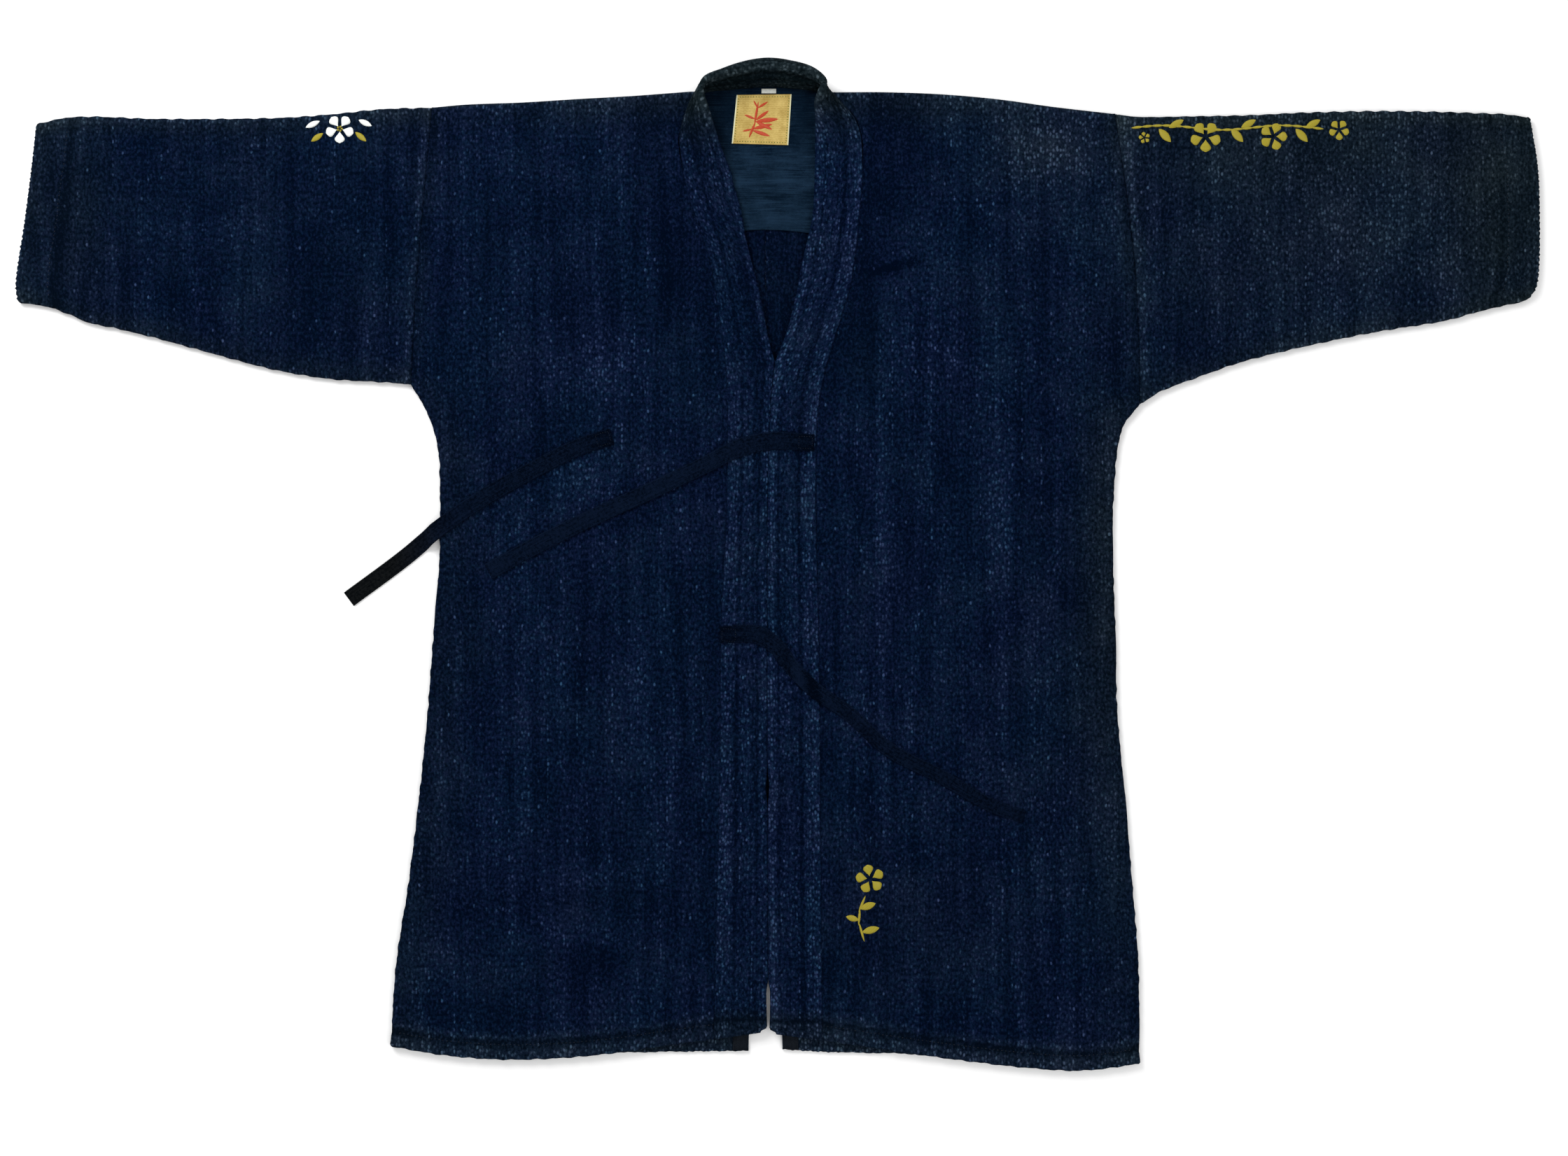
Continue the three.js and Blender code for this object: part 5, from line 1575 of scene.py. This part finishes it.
def label_satin(name):
    """A woven label: gold satin with pale selvedges."""
    shader = Shader(name, roughness=0.5, specular=0.2, sheen=0.03)
    vector = shader.attribute("weave", "Vector")
    parts = shader.axes(vector)
    fine = shader.noise(shader.scaled(vector, 0.5, 4.0), 1.0, 3, 0.6)
    cloud = shader.noise(vector, 0.09, 2)
    rib = shader.math("SINE", shader.math("MULTIPLY", parts[Y], math.pi / LABEL_RIB))
    share = shader.total((fine, 0.7, 0), (cloud, 0.5, 0), (rib, 0.12, 0))
    satin = shader.mix(shader.ramp(share, 0.3, 0.95), srgb(138, 110, 40), srgb(208, 184, 112))
    from_middle = shader.math("ABSOLUTE", shader.math("SUBTRACT", parts[X], LABEL_WIDTH / 2))
    selvedge = shader.ramp(from_middle, *(LABEL_WIDTH / 2 - inset for inset in SELVEDGE))
    satin = shader.mix(selvedge, satin, srgb(206, 208, 176))
    return shader.finish(satin, shader.bump(share, 0.1))


FLOOR_COLOURS = ((0.93, 0.93, 0.93, 1), (0.95, 0.95, 0.95, 1))
FLOOR_HALF = 4
FLOOR_Z = -0.0002
WORLD_LIGHT = 0.7

# The soft lights, in metres and watts
Light = namedtuple("Light", "name place size power")
LIGHTS = [
    Light("key_light", (-1.1, 1.5, 1.5), 1.1, 40),
    Light("fill_light", (1.4, -0.9, 2.2), 1.8, 18),
]


def plain_floor(name):
    """A pale studio floor with a trace of unevenness."""
    shader = Shader(name, roughness=0.9, specular=0.1)
    place = shader.node("ShaderNodeTexCoord", {}, "Object")
    cloud = shader.noise(place, 1.3, 2)
    return shader.finish(shader.mix(cloud, *FLOOR_COLOURS), shader.bump(cloud, 0.01))


def studio():
    """The camera straight above, the floor and the soft light."""
    scene = bpy.context.scene
    scene.camera = place_in_scene("camera", bpy.data.cameras.new("camera"))
    scene.camera.data.lens = CAMERA_LENS
    scene.camera.location = (CAMERA_X * MM, CAMERA_Y * MM, CAMERA_HEIGHT * MM)

    corners = [(-FLOOR_HALF, -FLOOR_HALF), (FLOOR_HALF, -FLOOR_HALF)]
    corners += [(FLOOR_HALF, FLOOR_HALF), (-FLOOR_HALF, FLOOR_HALF)]
    mesh = bpy.data.meshes.new("floor")
    mesh.from_pydata([(x, y, FLOOR_Z) for x, y in corners], [], [(0, 1, 2, 3)])
    mesh.materials.append(plain_floor("pale_floor"))
    floor = place_in_scene("floor", mesh)

    scene.world = bpy.data.worlds.new("studio")
    scene.world.use_nodes = True
    background = scene.world.node_tree.nodes["Background"].inputs
    background["Color"].default_value = WHITE
    background["Strength"].default_value = WORLD_LIGHT
    scene.view_settings.view_transform = "Standard"
    for row in LIGHTS:
        light = place_in_scene(row.name, bpy.data.lights.new(row.name, "AREA"))
        light.data.size = row.size
        light.data.energy = row.power
        light.location = row.place
        light.rotation_mode = "QUATERNION"
        light.rotation_quaternion = Vector(row.place).to_track_quat("Z", "Y")


# Rows of short stitches, and how deep their ends and underside go into the cloth
Stitching = namedtuple("Stitching", "pitch length width height")
HEM_STITCHING = Stitching(3.6, 2.3, 0.7, 0.35)
TIE_STITCHING = Stitching(2.2, 1.6, 0.5, 0.3)
LABEL_STITCHING = Stitching(2.4, 1.6, 1.2, 0.4)
LABEL_INSET = 0.09
STITCH_START = 0.5
STITCH_END_SUNK = 0.15
STITCH_SUNK = 0.25
STITCH_SIDE_UP = 0.02

# The box of stitches that holds a tie: where it starts and ends, and half its width as a share
TIE_BOX = (2, 14)
TIE_BOX_HALF = 0.36


def sideways(start, end):
    """The unit vectors along a line and square to it."""
    ahead = (end - start) / np.linalg.norm(end - start)
    return ahead, np.array([-ahead[1], ahead[0]])


def stitches(name, runs, ground, stitching, material):
    """Rows of short stitches along runs of (x, y) points, on whatever is under them."""
    points, faces, weave = [], [], []
    for run in runs:
        length = lengths(run)
        for start in np.arange(STITCH_START, length[-1] - stitching.length, stitching.pitch):
            ends = [start, start + stitching.length]
            place = np.stack([np.interp(ends, length, run[:, i]) for i in (X, Y)], 1)
            heights = [ground.height(*spot) for spot in place]
            add_stitch(points, faces, weave, place, heights, stitching)
    return make_object(name, np.array(points), np.array(faces), material, np.array(weave))


def add_stitch(points, faces, weave, place, heights, stitching):
    """One stitch: a closed bar with six corners, pointed at its ends."""
    side = sideways(*place)[1] * stitching.width / 2
    middle = place.mean(axis=0)
    z = sum(heights) / 2
    first = len(points)
    points.append((*place[0], heights[0] - STITCH_END_SUNK))
    points.append((*(middle + side), z + STITCH_SIDE_UP))
    points.append((*middle, z + stitching.height))
    points.append((*(middle - side), z + STITCH_SIDE_UP))
    points.append((*middle, z - STITCH_SUNK))
    points.append((*place[1], heights[1] - STITCH_END_SUNK))
    for one in range(4):
        two = (one + 1) % 4
        faces.append((first, first + 1 + two, first + 1 + one))
        faces.append((first + 5, first + 1 + one, first + 1 + two))
    weave.extend([(0, 0), (0.5, 0.5), (0.5, 0), (0.5, -0.5), (0.5, 0), (1, 0)])


def seam_stitches(ground, material):
    """The running stitches of the hems and cuffs, and those that hold the ties."""
    hems, cuffs, boxes = [], [], []
    for half in (RIGHT, LEFT):
        x = np.linspace(half.collar_seam(half.hem_start[Y]), half.side_foot_x - half.sign * 6, 40)
        hems.append(np.stack([x, half.front_hem(x) + HEM_STITCH], 1))
        y = np.linspace(half.cuff_low + 6, half.cuff_high - 6, 30)
        cuffs.append(np.stack([half.cuff(y) - half.sign * (CUFF_DEPTH - 3), y], 1))
    for rows in TIES.values():
        start, towards = np.array(rows[0][:2]), np.array(rows[1][:2])
        ahead, side = sideways(start, towards)
        side = side * rows[0][2] * TIE_BOX_HALF
        near_end, far_end = (start + ahead * distance for distance in TIE_BOX)
        corners = [near_end + side, far_end + side, far_end - side, near_end - side, near_end + side]
        boxes.append(np.array(corners))
    stitches("hem_stitches", hems, ground, HEM_STITCHING, material)
    stitches("cuff_stitches", cuffs, ground, HEM_STITCHING, material)
    stitches("tie_stitches", boxes, ground, TIE_STITCHING, material)


class Motifs:
    """Satin-stitched petals, leaves and stems that lie on what is under them."""

    def __init__(self, ground):
        self.ground = ground
        self.points = []
        self.faces = []
        self.weave = []

    def petal(self, x, y, angle, length, width, blunt=1.0, height=0.7):
        """A raised lens from (x, y) out along angle. blunt over 1 makes the far end rounder."""
        s, t = np.meshgrid(np.linspace(0, 1, 11), np.linspace(-1, 1, 7), indexing="ij")
        outline = np.sin(np.pi * s**blunt) ** 0.75
        turn = math.radians(angle)
        forward, aside = s * length, t * outline * width / 2
        place_x = x + forward * math.cos(turn) - aside * math.sin(turn)
        place_y = y + forward * math.sin(turn) + aside * math.cos(turn)
        rest = self.ground.heights(place_x, place_y)
        dome = height * np.sqrt(np.clip(1 - t**2, 0, 1)) * np.clip(outline, 0, 1) ** 0.6
        first = sum(len(part) for part in self.points)
        for z in (rest + dome, rest - 0.3):
            self.points.append(np.stack([place_x.ravel(), place_y.ravel(), z.ravel()], 1))
            self.weave.append(np.stack([forward.ravel(), aside.ravel()], 1))
        numbers = np.arange(s.size).reshape(s.shape)
        corners = (numbers[:-1, :-1], numbers[1:, :-1], numbers[1:, 1:], numbers[:-1, 1:])
        top = np.stack([corner.ravel() for corner in corners], 1)
        loop = np.r_[numbers[0, :-1], numbers[:-1, -1], numbers[-1, :0:-1], numbers[:0:-1, 0]]
        after = np.roll(loop, -1)
        sides = np.stack([loop, after, after + s.size, loop + s.size], 1)
        self.faces.extend([top + first, top[:, ::-1] + s.size + first, sides + first])

    def leaves(self, *rows):
        """Leaves given as rows of x, y, angle, length and width."""
        for row in rows:
            self.petal(*row)

    def blossom(self, x, y, size, turn):
        """A plum blossom of five round petals."""
        for angle in range(turn, turn + 360, 72):
            start_x = x + 0.1 * size * math.cos(math.radians(angle))
            start_y = y + 0.1 * size * math.sin(math.radians(angle))
            self.petal(start_x, start_y, angle, size * 0.42, size * 0.36, blunt=1.7)

    def stem(self, places, width):
        """A thin line of short satin stitches from place to place."""
        for (x1, y1), (x2, y2) in zip(places, places[1:]):
            angle = math.degrees(math.atan2(y2 - y1, x2 - x1))
            length = math.hypot(x2 - x1, y2 - y1) * 1.25
            self.petal(x1, y1, angle, length, width, height=0.45)

    def make(self, name, material):
        points, faces, weave = (np.vstack(rows) for rows in (self.points, self.faces, self.weave))
        return make_object(name, points, faces, material, weave)


def embroidery(ground, gold, white):
    """Flowers and leaves in gold and white thread on the sleeves and low on the left front."""
    front = Motifs(ground)
    front.blossom(83, -283, 25, 100)
    front.stem([(79, -298), (74, -310), (73, -322), (77, -336)], 2.2)
    front.leaves((74, -310, 20, 15, 6.5), (73, -320, 165, 12, 5.5), (76, -331, 15, 16, 6.5))
    front.make("front_flower", gold)

    branch = Motifs(ground)
    branch.stem([(x, 393 + 2 * math.sin(x / 17)) for x in range(318, 498, 9)], 2.4)
    for x in (343, 408, 466):
        branch.leaves((x, 392, -48, 16, 7), (x + 9, 393, 28, 15, 6))
    branch.blossom(385, 385, 27, -90)
    branch.blossom(446, 385, 24, -72)
    branch.blossom(505, 391, 18, 200)
    branch.blossom(330, 384, 10, 30)
    branch.make("sleeve_flowers", gold)

    pale = Motifs(ground)
    pale.blossom(-394, 392, 25, -90)
    pale.leaves((-412, 399, 205, 14, 5), (-377, 400, -25, 13, 5))
    pale.make("sleeve_blossom", white)
    leaves = Motifs(ground)
    leaves.leaves((-409, 388, 215, 13, 5), (-380, 389, -40, 13, 5))
    leaves.blossom(-394, 392, 5.5, 0)
    leaves.make("sleeve_blossom_leaves", gold)


BAMBOO_X, BAMBOO_Y = -12, 399
BAMBOO_STEM = [(-14, -15), (-9, -3), (-6, 14)]
BambooLeaf = namedtuple("BambooLeaf", "x y angle length")
BAMBOO_LEAVES = [
    BambooLeaf(-11, -7, 14, 19),
    BambooLeaf(-11, -8, -18, 17),
    BambooLeaf(-8, 1, 36, 15),
    BambooLeaf(-8, 0, 6, 21),
    BambooLeaf(-8, 0, -26, 17),
    BambooLeaf(-8, 2, 158, 11),
    BambooLeaf(-11, -7, 192, 9),
    BambooLeaf(-6, 12, 32, 11),
    BambooLeaf(-6, 12, 118, 8),
]


def label_design(ground, leaf_thread, edge_thread):
    """A spray of bamboo, a common motif, in the middle of the label, and stitches round its edge."""
    spray = Motifs(ground)
    spray.stem([(BAMBOO_X + x, BAMBOO_Y + y) for x, y in BAMBOO_STEM], 2.2)
    for leaf in BAMBOO_LEAVES:
        place = (BAMBOO_X + leaf.x, BAMBOO_Y + leaf.y)
        spray.petal(*place, leaf.angle, leaf.length, leaf.length * 0.2, height=0.25)
    spray.make("label_leaves", leaf_thread)
    corners = np.array(LABEL_CORNERS + LABEL_CORNERS[:1])
    border = corners + (np.mean(LABEL_CORNERS, axis=0) - corners) * LABEL_INSET
    stitches("label_stitches", [border], ground, LABEL_STITCHING, edge_thread)


# How each sheet is cut: its width and length laid flat, how it is held and what it rests on
Cut = namedtuple("Cut", "width length held rests_on")
PANELS = ["body_panel_right", "body_panel_left"]
UNDER_TIES = ["collar_band", "body_panel_right"]
CUTS = {
    "body_panel_right": Cut(342, 1760, "folded", ["floor"]),
    "body_panel_left": Cut(342, 1760, "folded", ["floor"]),
    "sleeve_right": Cut(505, 375, "folded", ["floor"]),
    "sleeve_left": Cut(520, 385, "folded", ["floor"]),
    "collar_band": Cut(46, 1860, "folded", PANELS),
    "shoulder_lining": Cut(277, 140, "laid", PANELS),
    "neck_label": Cut(52, 45, "laid", ["shoulder_lining"]),
    "size_tag": Cut(13.6, 10.1, "laid", ["shoulder_lining"]),
    "vent_facing_right": Cut(FACING_WIDTH + 1, FACING_LENGTH + 2, "laid", ["body_panel_right"]),
    "vent_facing_left": Cut(FACING_WIDTH + 1, FACING_LENGTH + 2, "laid", ["body_panel_left"]),
    "tie_upper_left": Cut(16, 330, "laid", UNDER_TIES),
    "tie_lower_right": Cut(16, 345, "laid", UNDER_TIES),
    "tie_outer_right": Cut(16, 300, "laid", UNDER_TIES),
}


THREADS = {
    "navy_thread": (srgb(2, 7, 18), srgb(16, 26, 46)),
    "gold_thread": (srgb(112, 100, 10), srgb(176, 162, 44)),
    "white_thread": (srgb(196, 200, 196), srgb(248, 250, 247)),
    "orange_thread": (srgb(140, 40, 16), srgb(196, 70, 34)),
    "label_edge_thread": (srgb(66, 86, 28), srgb(124, 142, 62)),
}
LINING_COLOURS = (srgb(3, 14, 27), srgb(24, 43, 62))
TIE_COLOURS = (srgb(0, 4, 14), srgb(8, 18, 36))
FACING_COLOURS = (srgb(11, 14, 19), srgb(30, 35, 42))
TAG_COLOURS = (srgb(180, 182, 176), srgb(222, 224, 216))


def cloth_materials():
    """The material of each slot."""
    return {
        "indigo_weave": indigo_cloth("indigo_rice_grain"),
        "collar_weave": indigo_cloth("indigo_collar", 2.6, 3.8, shine=0.95, dashes=0.65),
        "lining_cotton": plain_weave("lining_cotton", LINING_COLOURS, 0.7, (0.045, 0.9), slubs=1.2),
        "tie_cotton": plain_weave("tie_cotton", TIE_COLOURS, 0.7, (0.9, 0.03), slubs=1.0, mottled=1.8),
        "facing_tape": plain_weave("facing_tape", FACING_COLOURS, 0.8),
        "tag_tape": plain_weave("tag_tape", TAG_COLOURS, 0.5),
        "label_satin": label_satin("label_satin"),
    }


def main():
    studio()
    materials = cloth_materials()
    threads = {name: thread(name, *colours) for name, colours in THREADS.items()}
    halves = (("right", RIGHT), ("left", LEFT))
    pieces, cloths = {}, {}
    ground, lining_ground = Ground(), Ground()

    def put(name, cloth, wall, slot, onto=ground):
        cloths[name] = cloth
        pieces[name] = cloth_piece(name, cloth, wall, materials[slot], onto)

    for side, half in halves:
        put("body_panel_" + side, body_panel(half), WALL, "indigo_weave")
        put("sleeve_" + side, sleeve(half), WALL, "indigo_weave")
    put("collar_band", collar_band(), BAND_WALL, "collar_weave")

    label = patch_on_lining(LABEL_CORNERS, LABEL_WALL)
    tag = patch_on_lining(TAG_CORNERS, TAG_WALL)
    put("shoulder_lining", shoulder_lining(), LINING_WALL, "lining_cotton", lining_ground)
    put("neck_label", label, LABEL_WALL, "label_satin", lining_ground)
    put("size_tag", tag, TAG_WALL, "tag_tape", lining_ground)
    label_design(lining_ground, threads["orange_thread"], threads["label_edge_thread"])

    for side, half in halves:
        put("vent_facing_" + side, vent_facing(half), FACING_WALL, "facing_tape", None)
    for name, rows in TIES.items():
        put(name, tie(rows, ground, TIE_STATES[name]), TIE_WALL, "tie_cotton")
    seam_stitches(ground, threads["navy_thread"])
    embroidery(ground, threads["gold_thread"], threads["white_thread"])

    for name, cut in CUTS.items():
        flat = (cut.width * MM, cut.length * MM)
        area = min(cloths[name].area(), flat[0] * flat[1])


main()
